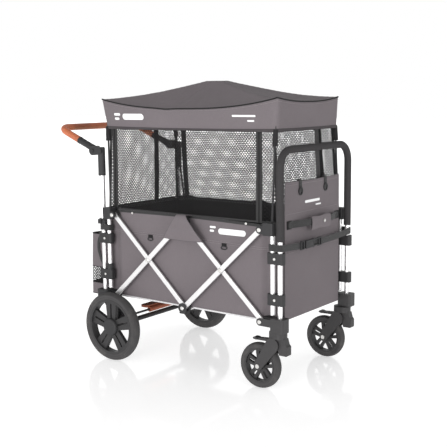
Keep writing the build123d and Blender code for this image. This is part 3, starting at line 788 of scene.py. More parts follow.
def button(name: str, centre: Vector, axis: Vector, radius: float, height: float, sides: int = 28) -> Piece:
    """A domed round head with a stepped skirt, such as a snap or a rivet.

    Args:
        name: the piece's name.
        centre: the middle of its base.
        axis: the way it points.
        radius: of its skirt.
        height: of its dome above the base.
        sides: how many sides its outline has.

    Returns:
        The piece, with its place in its mesh.
    """
    clear_selection()
    bpy.ops.mesh.primitive_cylinder_add(vertices=sides, radius=radius, depth=height * 0.4, end_fill_type="NGON")
    piece = named(name)
    put(piece, Matrix.Translation((0, 0, height * 0.2)))
    with editing(piece) as mesh:
        select_faces(piece, mesh, lambda face: face.normal.z > 0.9)
        bpy.ops.mesh.inset(thickness=radius * 0.2, depth=-height * 0.12)
        bpy.ops.mesh.inset(thickness=radius * 0.12, depth=height * 0.45)
        bpy.ops.mesh.inset(thickness=radius * 0.3, depth=height * 0.22)
        bpy.ops.mesh.inset(thickness=radius * 0.2, depth=height * 0.06)
    put(piece, Matrix.Translation(centre) @ axis.to_track_quat("Z", "Y").to_matrix().to_4x4())
    return smooth(piece)


def ring(name: str, centre: Vector, axis: Vector, size: tuple[float, float], wire: float) -> Piece:
    """A closed wire loop, round or oval.

    Args:
        name: the piece's name.
        centre: its middle.
        axis: the way its hole points.
        size: its two outer radii, across and up.
        wire: the wire's radius.

    Returns:
        The piece, with its place in its mesh.
    """
    clear_selection()
    bpy.ops.mesh.primitive_torus_add(
        major_radius=1.0, minor_radius=wire / max(size), major_segments=36, minor_segments=10
    )
    piece = named(name)
    for vertex in piece.data.vertices:
        flat = Vector((vertex.co.x, vertex.co.y))
        reach = flat.length
        way = flat / reach
        middle = Vector((way.x * (size[0] - wire), way.y * (size[1] - wire)))
        spread = (reach - 1.0) * max(size)
        vertex.co = (*(middle + way * spread), vertex.co.z * max(size))
    put(piece, Matrix.Translation(centre) @ axis.to_track_quat("Z", "Y").to_matrix().to_4x4())
    return smooth(piece, 60)


def piping(name: str, route: Sequence[Vector], radius: float, closed: bool = False, sides: int = 2) -> Piece:
    """A round cord or rod along a route.

    Args:
        name: the piece's name.
        route: the points it passes.
        radius: the cord's radius.
        closed: True for a loop.
        sides: the bevel's resolution, where 2 gives eight sides.

    Returns:
        The piece as a mesh.
    """
    curve = bpy.data.curves.new(name, "CURVE")
    curve.dimensions = "3D"
    curve.bevel_depth = radius
    curve.bevel_resolution = sides
    curve.use_fill_caps = not closed
    run = curve.splines.new("POLY")
    run.points.add(len(route) - 1)
    for point, place in zip(run.points, route):
        point.co = (*place, 1.0)
    run.use_cyclic_u = closed
    piece = bpy.data.objects.new(name, curve)
    bpy.context.scene.collection.objects.link(piece)
    activate(piece)
    bpy.ops.object.convert(target="MESH")
    piece = named(name)
    weld(piece, 1e-6)
    return smooth(piece, 50)


def joined(name: str, pieces: Sequence[Piece]) -> Piece:
    """Join several pieces of one finish into one object.

    Args:
        name: the joined piece's name.
        pieces: what it is made of.

    Returns:
        The joined piece.
    """
    clear_selection()
    for piece in pieces:
        piece.select_set(True)
    bpy.context.view_layer.objects.active = pieces[0]
    if len(pieces) > 1:
        bpy.ops.object.join()
    return named(name)


# ---- routes ----


def ease(share: float) -> float:
    """A share from 0 to 1, eased at both ends."""
    share = max(0.0, min(1.0, share))
    return share * share * (3 - 2 * share)


def between(low: float, high: float, share: float) -> float:
    """The number at a share of the way from low to high."""
    return low + (high - low) * share


class Route:
    """A line through points, read by the share of its length."""

    def __init__(self, points: Sequence[Vector], closed: bool = False) -> None:
        """Measure the line.

        Args:
            points: what it passes.
            closed: True where it ends at its start.
        """
        self.closed = closed
        self.points = [Vector(point) for point in points]
        if closed:
            self.points.append(self.points[0].copy())
        self.marks = [0.0]
        for first, second in zip(self.points, self.points[1:]):
            self.marks.append(self.marks[-1] + (second - first).length)
        self.length = self.marks[-1]

    def at(self, share: float) -> Vector:
        """The point at a share of the length."""
        target = max(0.0, min(1.0, share)) * self.length
        low, high = 0, len(self.marks) - 1
        while high - low > 1:
            middle = (low + high) // 2
            if self.marks[middle] <= target:
                low = middle
            else:
                high = middle
        run = self.marks[high] - self.marks[low]
        return self.points[low].lerp(self.points[high], (target - self.marks[low]) / run if run else 0.0)

    def heading(self, share: float, step: float = 0.002) -> Vector:
        """The way the line goes at a share of its length."""
        around = step / self.length
        if self.closed:
            ahead, behind = self.at((share + around) % 1.0), self.at((share - around) % 1.0)
        else:
            ahead, behind = self.at(share + around), self.at(share - around)
        return (ahead - behind).normalized()


def rounded(corners: Sequence[Vector], radius: float, closed: bool = False, steps: int = 6) -> list[Vector]:
    """The points of a line whose corners are rounded.

    Args:
        corners: the sharp corners.
        radius: of every corner, as far as its two runs allow.
        closed: True where the last corner joins the first.
        steps: how many runs round a corner.

    Returns:
        The rounded line's points.
    """
    count = len(corners)
    made: list[Vector] = []
    for index, corner in enumerate(corners):
        if not closed and index in (0, count - 1):
            made.append(Vector(corner))
            continue
        before, after = corners[index - 1] - corner, corners[(index + 1) % count] - corner
        half = before.angle(after) / 2
        reach = min(radius / tan(half), before.length * 0.49, after.length * 0.49)
        start, end = corner + before.normalized() * reach, corner + after.normalized() * reach
        for step in range(steps + 1):
            share = step / steps
            made.append((1 - share) ** 2 * start + 2 * share * (1 - share) * corner + share**2 * end)
    return made


def strap(
    name: str,
    route: Sequence[Vector],
    across: Callable[[float], Vector],
    width: float,
    thickness: float = 0.0014,
    step: float = 0.006,
) -> Piece:
    """A flat strap along a route.

    Args:
        name: the piece's name.
        route: the middle of the strap.
        across: the way across it, for a share of its length.
        width: the strap's width.
        thickness: the strap's thickness.
        step: the length of one face along it.

    Returns:
        The strap, with its cut's length along the first coordinate.
    """
    line = Route(route)
    cells = max(4, ceil(line.length / step))

    def surface(along: float, over: float) -> Vector:
        """A point on the strap, slightly crowned across."""
        way = across(along).normalized()
        out = line.heading(along).cross(way)
        crown = 0.0004 * (1 - (2 * over - 1) ** 2)
        return line.at(along) + way * (over - 0.5) * width + out * crown

    piece = cut_cloth(name, (cells, 6), (line.length, width), surface)
    return thicken(piece, thickness, 0.0)


def stitches(name: str, line: Route, out: Callable[[float], Vector], pitch: float = 0.005) -> Piece:
    """A row of stitches, each a small thread loop that dips into the cloth.

    Args:
        name: the piece's name.
        line: where the row runs, on the cloth's face.
        out: the way off the cloth, for a share of the line.
        pitch: from one stitch to the next.

    Returns:
        The row as one piece.
    """
    clear_selection()
    bpy.ops.mesh.primitive_cylinder_add(vertices=6, radius=0.00045, depth=pitch * 0.7, end_fill_type="NGON")
    first = named(name)
    with editing(first) as mesh:
        select_faces(first, mesh, lambda face: abs(face.normal.z) > 0.9)
        bpy.ops.mesh.inset(thickness=0.0002, depth=0.0004)
    count = max(2, int(line.length / pitch))
    pattern = bmesh.new()
    pattern.from_mesh(first.data)
    row = bmesh.new()
    for index in range(count):
        share = (index + 0.5) / count
        way, off = line.heading(share), out(share).normalized()
        turn = Matrix((off.cross(way), off, way)).transposed().to_4x4()
        place = Matrix.Translation(line.at(share) + off * 0.0002) @ turn
        copies = [row.verts.new(place @ vertex.co) for vertex in pattern.verts]
        for face in pattern.faces:
            row.faces.new([copies[vertex.index] for vertex in face.verts])
    row.to_mesh(first.data)
    row.free()
    pattern.free()
    return smooth(first, 60)


def placed(finish: Finish, piece: Piece, body: str, folded: float = 1.0) -> Piece:
    """Finish a piece and fix it to the body it moves with.

    Args:
        finish: what it is made of.
        piece: the object.
        body: the body's name.
        folded: the share of its length that is left once the frame is folded.

    Returns:
        The same piece.
    """
    finish.apply(piece)
    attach(piece, body)
    if folded < 1.0:
        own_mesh(piece)
    log.info("%s: %s on %s", piece.name, finish.name, body)
    return piece


# ---- the wagon's layout ----


@dataclass
class Layout:
    """Where the frame's own pieces stand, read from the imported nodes."""

    middle: float = field(init=False)
    tub: tuple[Vector, Vector] = field(init=False)
    canopy: tuple[Vector, Vector] = field(init=False)
    basket: tuple[Vector, Vector] = field(init=False)

    def __post_init__(self) -> None:
        """Measure the nodes."""
        low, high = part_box("mid_top_brackets")
        self.middle = (low.x + high.x) / 2
        self.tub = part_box("tub")
        self.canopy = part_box("canopy")
        self.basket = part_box("rear_basket")

    def spot(self, x: float, y: float, z: float) -> Vector:
        """A point counted along X from the middle of the fold."""
        return Vector((self.middle + x, y, z))


LAYOUT = Layout()
spot = LAYOUT.spot
CANOPY_FOLDED = 0.35
TUB_FOLDED = 0.31
AHEAD, ASIDE, UP = Vector((1, 0, 0)), Vector((0, 1, 0)), Vector((0, 0, 1))


def crumple(point: Vector, size: Colour, depth: float) -> float:
    """A soft unevenness of cloth at a point, a few waves in a metre along each axis.

    Args:
        point: where it is read.
        size: how many waves there are in a metre along each axis.
        depth: the most that it moves the cloth.

    Returns:
        How far the cloth stands out there.
    """
    place = Vector((point.x * size[0], point.y * size[1], point.z * size[2]))
    return depth * noise.noise(place) + 0.4 * depth * noise.noise(place * 2.3)


def printed_bar(name: str, surface: Surface, low: tuple[float, float], high: tuple[float, float]) -> Piece:
    """A plain round-ended bar of ink that lies on a cloth.

    Args:
        name: the piece's name.
        surface: gives a point just off the cloth for two lengths along it.
        low: the bar's first corner in those lengths.
        high: the opposite corner.

    Returns:
        The bar, a thin closed skin.
    """
    width, height = high[0] - low[0], high[1] - low[1]
    end = height / 2 / width

    def laid(across: float, up: float) -> Vector:
        """A point of the bar, drawn in towards its round ends."""
        short = max(0.0, 1 - min(across, 1 - across) / end)
        half = 0.5 * sqrt(max(0.03, 1 - short * short))
        return surface(low[0] + across * width, (low[1] + high[1]) / 2 + (2 * up - 1) * half * height)

    piece = cut_cloth(name, (48, 4), (width, height), laid)
    return thicken(piece, 0.0003, 1.0)


def print_bars(name: str, marks: Sequence[Mark], surface: Surface, body: str, folded: float = 1.0) -> None:
    """Print a group of plain bars on a cloth.

    Args:
        name: the group's name.
        marks: each bar's first and opposite corner.
        surface: gives a point just off the cloth for a corner's two lengths.
        body: the body that carries the cloth.
        folded: the share of its length that is left once the frame is folded.
    """
    bars = [printed_bar(name, surface, low, high) for low, high in marks]
    placed(WHITE_PRINT, joined(name, bars), body, folded)


@dataclass(eq=False)
class CanopyTop:
    """The sun canopy: a taut roof over the four rods, its valance, the eave's painted-shade cord and the black hem.
    """

    corner_z: float = 1.061
    flat_share: float = 0.09
    curve: float = 1.65
    side_sag: float = 0.039
    end_sag: float = 0.016
    valley: float = 0.0040
    valley_place: float = -0.20
    overhang: tuple[float, float, float] = (0.010, 0.002, 0.002)
    taper: tuple[float, float, float] = (0.026, 0.007, 0.001)
    below: float = 0.005
    corner_radius: float = 0.016
    hem: float = 0.012
    sleeve: tuple[float, float] = (0.011, 0.058)
    sleeve_start: float = 0.094
    rod_radius: float = 0.004
    rod_head_y: float = 0.204
    cloth: float = 0.0012
    marks: tuple[Mark, ...] = (
        ((-0.383, 0.994), (-0.349, 1.004)),
        ((-0.383, 0.977), (-0.358, 0.987)),
        ((-0.337, 0.978), (-0.222, 1.002)),
        ((0.216, 0.993), (0.322, 1.000)),
        ((0.284, 0.976), (0.315, 0.982)),
    )

    def dip(self, across: float, along: float) -> float:
        """How far the roof hangs below its ridge lines.

        Args:
            across: from -1 at the right eave to 1 at the left.
            along: from -1 at the rear eave to 1 at the front.

        Returns:
            The drop in metres.
        """
        reach = max(abs(across), abs(along), 1e-6)
        if abs(along) >= abs(across):
            place = across / reach
            return self.end_sag * reach**2 * (1 - abs(place) ** 2.3)
        place = along / reach
        fold = self.valley * exp(-(((place - self.valley_place) / 0.09) ** 2)) * reach * (1.15 - reach)
        return self.side_sag * reach**1.8 * (1 - abs(place) ** 2.5) + 4 * fold

    def height(self, along: float, across: float) -> float:
        """The roof's height at a place, which dip() describes."""
        reach = max(abs(across), abs(along))
        slope = max(0.0, (reach - self.flat_share) / (1 - self.flat_share))
        rise = LAYOUT.canopy[1].z - self.corner_z
        return self.corner_z + rise * (1 - slope) ** self.curve - self.dip(across, along)

    def plan(self, drop: float) -> tuple[float, float, float]:
        """The rear, the front and the half width at a share of the way down the valance."""
        low, high = LAYOUT.canopy
        rear, front, side = self.overhang
        back, ahead, aside = self.taper
        return low.x - rear + drop * back, high.x + front - drop * ahead, high.y + side - drop * aside

    @lru_cache(maxsize=None)
    def outline(self, drop: float) -> Route:
        """The canopy's plan at a share of the way down the valance, as a closed line at height 0."""
        rear, front, side = self.plan(drop)
        corners = [Vector((x, y, 0)) for x, y in ((rear, -side), (front, -side), (front, side), (rear, side))]
        return Route(rounded(corners, self.corner_radius, closed=True), closed=True)

    def roof(self) -> Piece:
        """Cut the roof and hang it over the rods."""
        rear, front, side = self.plan(0.0)
        middle, half = (rear + front) / 2, (front - rear) / 2

        def surface(u: float, v: float) -> Vector:
            """A point on the roof, with faint pulls from its corners."""
            along, across = 2 * u - 1, 2 * v - 1
            pinch = 0.0075 * max(0.0, abs(along) + abs(across) - 1.9) / 0.1
            point = Vector((middle + along * (half - pinch), across * (side - pinch), self.height(along, across)))
            reach = max(abs(along), abs(across))
            pull = 0.0016 * sin(22 * atan2(abs(across) * side, abs(along) * half)) * reach**3 * (1 - reach**8)
            return point + UP * (crumple(point, (9.0, 9.0, 2.0), 0.0016) * (1 - reach**6) + pull)

        size = (2 * half * 1.01, 2 * side * 1.04)
        piece = cut_cloth("canopy_roof", (110, 64), size, surface)
        thicken(piece, 0.0012)
        return placed(GREY_CANVAS, piece, "fold_top", CANOPY_FOLDED)

    def eave(self, point: Vector) -> float:
        """The height of the eave above a point of the outline."""
        rear, front, side = self.plan(0.0)
        along, across = (point.x - (rear + front) / 2) / ((front - rear) / 2), point.y / side
        reach = max(abs(along), abs(across))
        return self.height(along / reach, across / reach)

    def valance_point(self, around: float, down: float, off: float = 0.0) -> Vector:
        """A point on the valance.

        Args:
            around: the share of the way round, from the right rear corner.
            down: the share of the way down.
            off: how far off the cloth.

        Returns:
            The point.
        """
        top, bottom = self.outline(0.0), self.outline(1.0)
        first = top.at(around)
        point = first.lerp(bottom.at(around), down)
        high, low = self.eave(first), LAYOUT.canopy[0].z - self.below
        point.z = between(high, low, down)
        way = top.heading(around)
        out = Vector((way.y, -way.x, 0))
        flute = crumple(point, (11.0, 11.0, 3.0), 0.0016) * down**1.5
        return point + out * (flute + off)

    def valance(self) -> Piece:
        """Cut the valance as one long band, closed at a rear corner."""
        length = self.outline(0.5).length
        depth = self.corner_z - LAYOUT.canopy[0].z + self.below - self.side_sag / 2
        piece = cut_cloth(
            "canopy_valance", (300, 12), (length, depth), lambda u, v: self.valance_point(u, 1 - v), closed=True
        )
        thicken(piece, 0.0012)
        return placed(GREY_CANVAS, piece, "fold_top", CANOPY_FOLDED)

    def trim(self) -> None:
        """Sew on the eave's black cord (painted shade under the eave), the hem and the corner sleeves."""
        route = [self.valance_point(index / 320, 0.0, 0.0006) for index in range(320)]
        # Painted shade: this black cord stands for the shadowed gap under the eave, between roof and valance.
        eave = piping("canopy_eave_shadow_cord", route, 0.0027, closed=True)
        placed(BLACK_CORD, eave, "fold_top", CANOPY_FOLDED)
        share = self.hem / (self.corner_z - LAYOUT.canopy[0].z)

        def fold(u: float, v: float) -> Vector:
            """A point on the hem, which stands a little off the valance and turns under it."""
            return self.valance_point(u, 1 - share * (1 - v), 0.0010 + 0.0006 * sin(pi * v))

        length = self.outline(1.0).length
        hem = cut_cloth("canopy_hem", (300, 4), (length, self.hem), lambda u, v: fold(u, 1 - v), closed=True)
        thicken(hem, 0.0016)
        placed(GREY_BINDING, hem, "fold_top", CANOPY_FOLDED)
        seam = Route([self.valance_point(index / 320, 0.09, 0.0012) for index in range(321)])
        turned = stitches("canopy_eave_stitches", seam, lambda share: self.out(share), 0.0065)
        placed(THREAD_GREY, turned, "fold_top", CANOPY_FOLDED)
        for end, body in ((End.FRONT, "front_sliders"), (End.REAR, "rear_sliders")):
            for side in Side:
                self.corner_sleeve(end, side, body)

    def out(self, around: float) -> Vector:
        """The way off the valance."""
        way = self.outline(0.0).heading(around)
        return Vector((way.y, -way.x, 0.0))

    def corner_sleeve(self, end: End, side: Side, body: str) -> None:
        """Wrap the sleeve that holds the canopy on one rod.

        Args:
            end: the rod's end of the wagon.
            side: the rod's side.
            body: the body that carries the rod.
        """
        low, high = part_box(f"{end.name.lower()}_canopy_rods")
        radius, length = self.sleeve
        top = Vector((low.x + self.rod_radius, side.value * self.rod_head_y, high.z - 0.002))
        foot = Vector((high.x - self.rod_radius, side.value * (high.y - self.rod_radius), low.z))
        way = (foot - top).normalized()
        first = way.orthogonal().normalized()
        second = way.cross(first)

        def surface(u: float, v: float) -> Vector:
            """A point on the sleeve, puckered where it is sewn and open at its foot."""
            angle = 2 * pi * u
            pucker = 0.0008 * sin(7 * angle + 3 * v) * (0.4 + v)
            size = radius - 0.002 + pucker + 0.0015 * exp(-((v - 0.97) / 0.03) ** 2)
            return top + way * (v * length + self.sleeve_start) + (first * cos(angle) + second * sin(angle)) * size

        name = f"canopy_sleeve_{end.name.lower()}_{side.name.lower()}"
        piece = cut_cloth(name, (36, 26), (2 * pi * radius, length), surface, closed=True)
        thicken(piece, 0.0014)
        placed(BLACK_LINING, piece, body)

    def print_marks(self) -> None:
        """Print the plain bars on the right valance."""
        rear, around = self.plan(0.0)[0], self.outline(0.0).length

        def on_side(along: float, z: float) -> Vector:
            """A point on the right valance for a place along X and a height."""
            share = (LAYOUT.middle + along - rear) / around
            eave, foot = self.valance_point(share, 0.0).z, self.valance_point(share, 1.0).z
            down = (eave - z) / (eave - foot)
            return self.valance_point(share, down, 0.0004)

        print_bars("canopy_marks", self.marks, on_side, "fold_top", CANOPY_FOLDED)

    def build(self) -> None:
        """Make the whole canopy."""
        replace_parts(self.roof(), "canopy")
        self.valance()
        self.trim()
        self.print_marks()


@dataclass(eq=False)
class Tub:
    """The cloth tub: a tall outer wall, its black lining and floor, the bound rim and the two hinge flaps."""

    half_width: float = 0.2335
    end_width: float = 0.2175
    narrow_from: float = 0.372
    wide_from: float = 0.345
    front: float = 0.4125
    rear: float = -0.430
    foot: float = 0.256
    piping_run: tuple[float, float] = (0.030, 0.36)
    rims: tuple[float, float, float] = (0.611, 0.615, 0.604)
    seam_z: float = 0.528
    bulge: float = 0.0028
    wall: float = 0.0014
    lining: float = 0.0012
    marks: tuple[Mark, ...] = (
        ((0.114, 0.578), (0.142, 0.586)),
        ((0.114, 0.564), (0.134, 0.572)),
        ((0.154, 0.558), (0.280, 0.580)),
    )

    @lru_cache(maxsize=None)
    def outline(self, inset: float = 0.0) -> Route:
        """The tub's plan as a closed line, from the middle of the right side."""
        wide, narrow = self.half_width - inset, self.end_width - inset
        front, rear = self.front - inset, self.rear + inset
        half = [
            (0.0, -wide), (self.wide_from, -wide), (self.narrow_from, -narrow), (front, -narrow), (front, 0.0),
            (front, narrow), (self.narrow_from, narrow), (self.wide_from, wide), (-self.wide_from, wide),
            (-self.narrow_from, narrow), (rear, narrow), (rear, 0.0), (rear, -narrow), (-self.narrow_from, -narrow),
            (-self.wide_from, -wide),
        ]
        return Route(rounded([spot(x, y, 0.0) for x, y in half], 0.012, closed=True), closed=True)

    def narrowed(self, x: float) -> float:
        """How much of its narrowing the tub has done at a place from the fold's middle."""
        return (abs(x) - self.wide_from) / (self.narrow_from - self.wide_from)

    def rim(self, x: float) -> float:
        """The height of the rim at a place along X."""
        rear, middle, front = self.rims
        share = (x - LAYOUT.middle) / 0.43
        return between(middle, front if share > 0 else rear, abs(share) ** 1.2)

    def wall_point(self, line: Route, around: float, up: float, off: float = 0.0) -> Vector:
        """A point on a wall of the tub.

        Args:
            line: the wall's plan.
            around: the share of the way round.
            up: the share of the way up.
            off: how far off the cloth.

        Returns:
            The point.
        """
        point = line.at(around)
        way = line.heading(around)
        out = Vector((way.y, -way.x, 0.0))
        point.z = between(self.foot, self.rim(point.x), up)
        swell = self.bulge * sin(pi * min(1.0, up * 1.02)) ** 0.8
        pinch = 0.0011 * exp(-((point.z - self.seam_z) / 0.004) ** 2)
        drape = crumple(point, (7.0, 7.0, 3.0), 0.0016) * sin(pi * up) ** 0.5
        tug = 0.0006 * sin(point.x * 210) * exp(-((up - 0.02) / 0.06) ** 2)
        return point + out * (swell - pinch + drape + tug + off)

    def walls(self) -> Piece:
        """Cut the outer wall and the lining."""
        line, inner = self.outline(), self.outline(0.0048)
        height = self.rims[1] - self.foot
        outer = cut_cloth(
            "tub_wall", (330, 46), (line.length, height), lambda u, v: self.wall_point(line, u, v), closed=True
        )
        thicken(outer, self.wall)
        placed(GREY_CANVAS, outer, "fold_top", TUB_FOLDED)
        lining = cut_cloth(
            "tub_lining", (260, 30), (inner.length, height), lambda u, v: self.wall_point(inner, u, v, -0.0002),
            closed=True,
        )
        thicken(lining, 0.0012)
        placed(BLACK_LINING, lining, "fold_top", TUB_FOLDED)
        return outer

    def floor(self) -> None:
        """Lay the tub's floor."""
        front, rear = self.front - 0.008, self.rear + 0.008

        def surface(u: float, v: float) -> Vector:
            """A point on the floor, which narrows past the hinged tubes."""
            x = between(rear, front, u)
            half = self.half_width - 0.008
            if abs(x) > self.wide_from:
                half = between(half, self.end_width - 0.008, min(1.0, self.narrowed(x)))
            point = spot(x, between(-half, half, v), self.foot + 0.0035)
            return point + UP * crumple(point, (8.0, 8.0, 1.0), 0.0010)

        size = (front - rear, 2 * self.half_width - 0.02)
        piece = cut_cloth("tub_floor", (90, 50), size, surface)
        thicken(piece, 0.0014)
        placed(BLACK_LINING, piece, "fold_top", TUB_FOLDED)

    def binding(self) -> None:
        """Bind the rim, and pipe the bottom edge in two halves a side."""
        line = self.outline(0.0022)

        def over(u: float, v: float) -> Vector:
            """A point on the tape that is folded over the rim."""
            point = line.at(u)
            way = line.heading(u)
            out = Vector((way.y, -way.x, 0.0))
            turn = pi * (v - 0.5)
            drop = 0.007 * max(0.0, abs(2 * v - 1) - 0.4) / 0.6
            rim = self.rim(point.x)
            swell = 0.0040 * max(-1.0, min(1.0, 1.7 * sin(turn)))
            return Vector((point.x, point.y, rim + 0.0026 * cos(turn) - drop)) + out * swell

        tape = cut_cloth("tub_rim_tape", (330, 14), (line.length, 0.020), over, closed=True)
        thicken(tape, 0.0009, 1.0)
        placed(TAPE, tape, "fold_top", TUB_FOLDED)
        wall = self.outline()
        for side in Side:
            for end in End:
                route = []
                for index in range(25):
                    x = end.value * between(*self.piping_run, index / 24)
                    half = self.half_width + 0.0016
                    if abs(x) > self.wide_from:
                        half = between(half, self.end_width + 0.0016, self.narrowed(x))
                    route.append(spot(x, side.value * half, self.foot + 0.0015))
                name = f"tub_foot_piping_{side.name.lower()}_{end.name.lower()}"
                placed(SILVER_PIPING, piping(name, route, 0.0034, sides=3), "fold_top", TUB_FOLDED)
        rows = []
        for offset in (-0.0035, 0.0035):
            share = (self.seam_z + offset - self.foot) / (self.rims[1] - self.foot)
            route = Route([self.wall_point(wall, index / 360, share, 0.0004) for index in range(361)])
            rows.append(stitches("seam", route, lambda place: self.out(wall, place), 0.0075))
        placed(THREAD_GREY, joined("tub_seam_stitches", rows), "fold_top", TUB_FOLDED)

    def out(self, line: Route, around: float) -> Vector:
        """The way off a wall."""
        way = line.heading(around % 1.0)
        return Vector((way.y, -way.x, 0.0))

    def flap_point(self, side: Side, across: float, down: float) -> Vector:
        """A point on a hinge flap, which widens from the rim to its foot.

        Args:
            side: the flap's side.
            across: the share of the way to the front.
            down: the share of the way from the lining over the rim to the foot.

        Returns:
            The point.
        """
        path = Route(rounded([
            Vector((0.0, 0.2310, 0.606)), Vector((0.0, 0.2330, 0.6195)), Vector((0.0, 0.2700, 0.6220)),
            Vector((0.0, 0.2752, 0.6080)), Vector((0.0, 0.2752, 0.5700)), Vector((0.0, 0.2700, 0.5270)),
        ], 0.006))
        point = path.at(down)
        fall = max(0.0, 0.6215 - point.z) / 0.0945
        left, right = between(-0.020, -0.088, fall), between(0.024, 0.104, fall)
        sag = 0.0030 * (1 - (2 * across - 1) ** 2) * fall
        x = between(left, right, across)
        return spot(x, side.value * (point.y + sag * 0.4), point.z - sag)

    def flaps(self) -> None:
        """Cut the two flaps that cover the upper hinges."""
        for side in Side:
            name = f"tub_flap_{side.name.lower()}"
            piece = cut_cloth(name, (28, 28), (0.16, 0.150), lambda u, v: self.flap_point(side, u, 1 - v))
            thicken(piece, 0.0014, 0.0)
            placed(GREY_CANVAS, piece, "fold_top", TUB_FOLDED)
            edge = [self.flap_point(side, share / 12, 1.0) for share in range(13)]
            left = [self.flap_point(side, 0.0, 1 - step / 20) for step in range(21)]
            right = [self.flap_point(side, 1.0, step / 20) for step in range(21)]
            loop = piping(f"tub_flap_edge_{side.name.lower()}", right + edge[::-1][1:] + left[1:], 0.0011)
            placed(GREY_CORD, loop, "fold_top", TUB_FOLDED)

    def fittings(self) -> None:
        """Fix the snaps below the rim and the small hanging rings."""
        for side in Side:
            way = ASIDE * side.value
            snaps = [
                button("snap", spot(x, side.value * (self.half_width + 0.0048), z), way, 0.0046, 0.0035)
                for x, z in ((-0.278, 0.6055), (0.284, 0.6080))
            ]
            placed(ZINC, joined(f"tub_snaps_{side.name.lower()}", snaps), "fold_top", TUB_FOLDED)
            for index, x in enumerate((-0.184, 0.182)):
                self.hanging_ring(side, index, x)

    def hanging_ring(self, side: Side, index: int, x: float) -> None:
        """Sew on one tab with its ring."""
        face = side.value * (self.half_width + 0.0042)
        tag = f"{side.name.lower()}_{index}"
        tab = block(f"tub_ring_tab_{tag}", spot(x, face, 0.519), (0.022, 0.0030, 0.012), 0.0012)
        placed(BLACK_CORD, tab, "fold_top", TUB_FOLDED)
        loop = ring(
            f"tub_ring_{tag}", spot(x, side.value * (self.half_width + 0.0058), 0.508),
            ASIDE * side.value, (0.0150, 0.0078), 0.0019,
        )
        placed(BLACK_PLASTIC, loop, "fold_top", TUB_FOLDED)

    def print_marks(self) -> None:
        """Print the plain bars on the right wall."""

        def on_wall(along: float, z: float) -> Vector:
            """A point just off the right wall, for a place along X and a height."""
            line = self.outline()
            height = self.rim(LAYOUT.middle + along) - self.foot
            return self.wall_point(line, along / line.length, (z - self.foot) / height, 0.0005)

        print_bars("tub_marks", self.marks, on_wall, "fold_top", TUB_FOLDED)

    def build(self) -> None:
        """Make the whole tub."""
        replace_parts(self.walls(), "tub")
        self.floor()
        self.binding()
        self.flaps()
        self.fittings()
        self.print_marks()


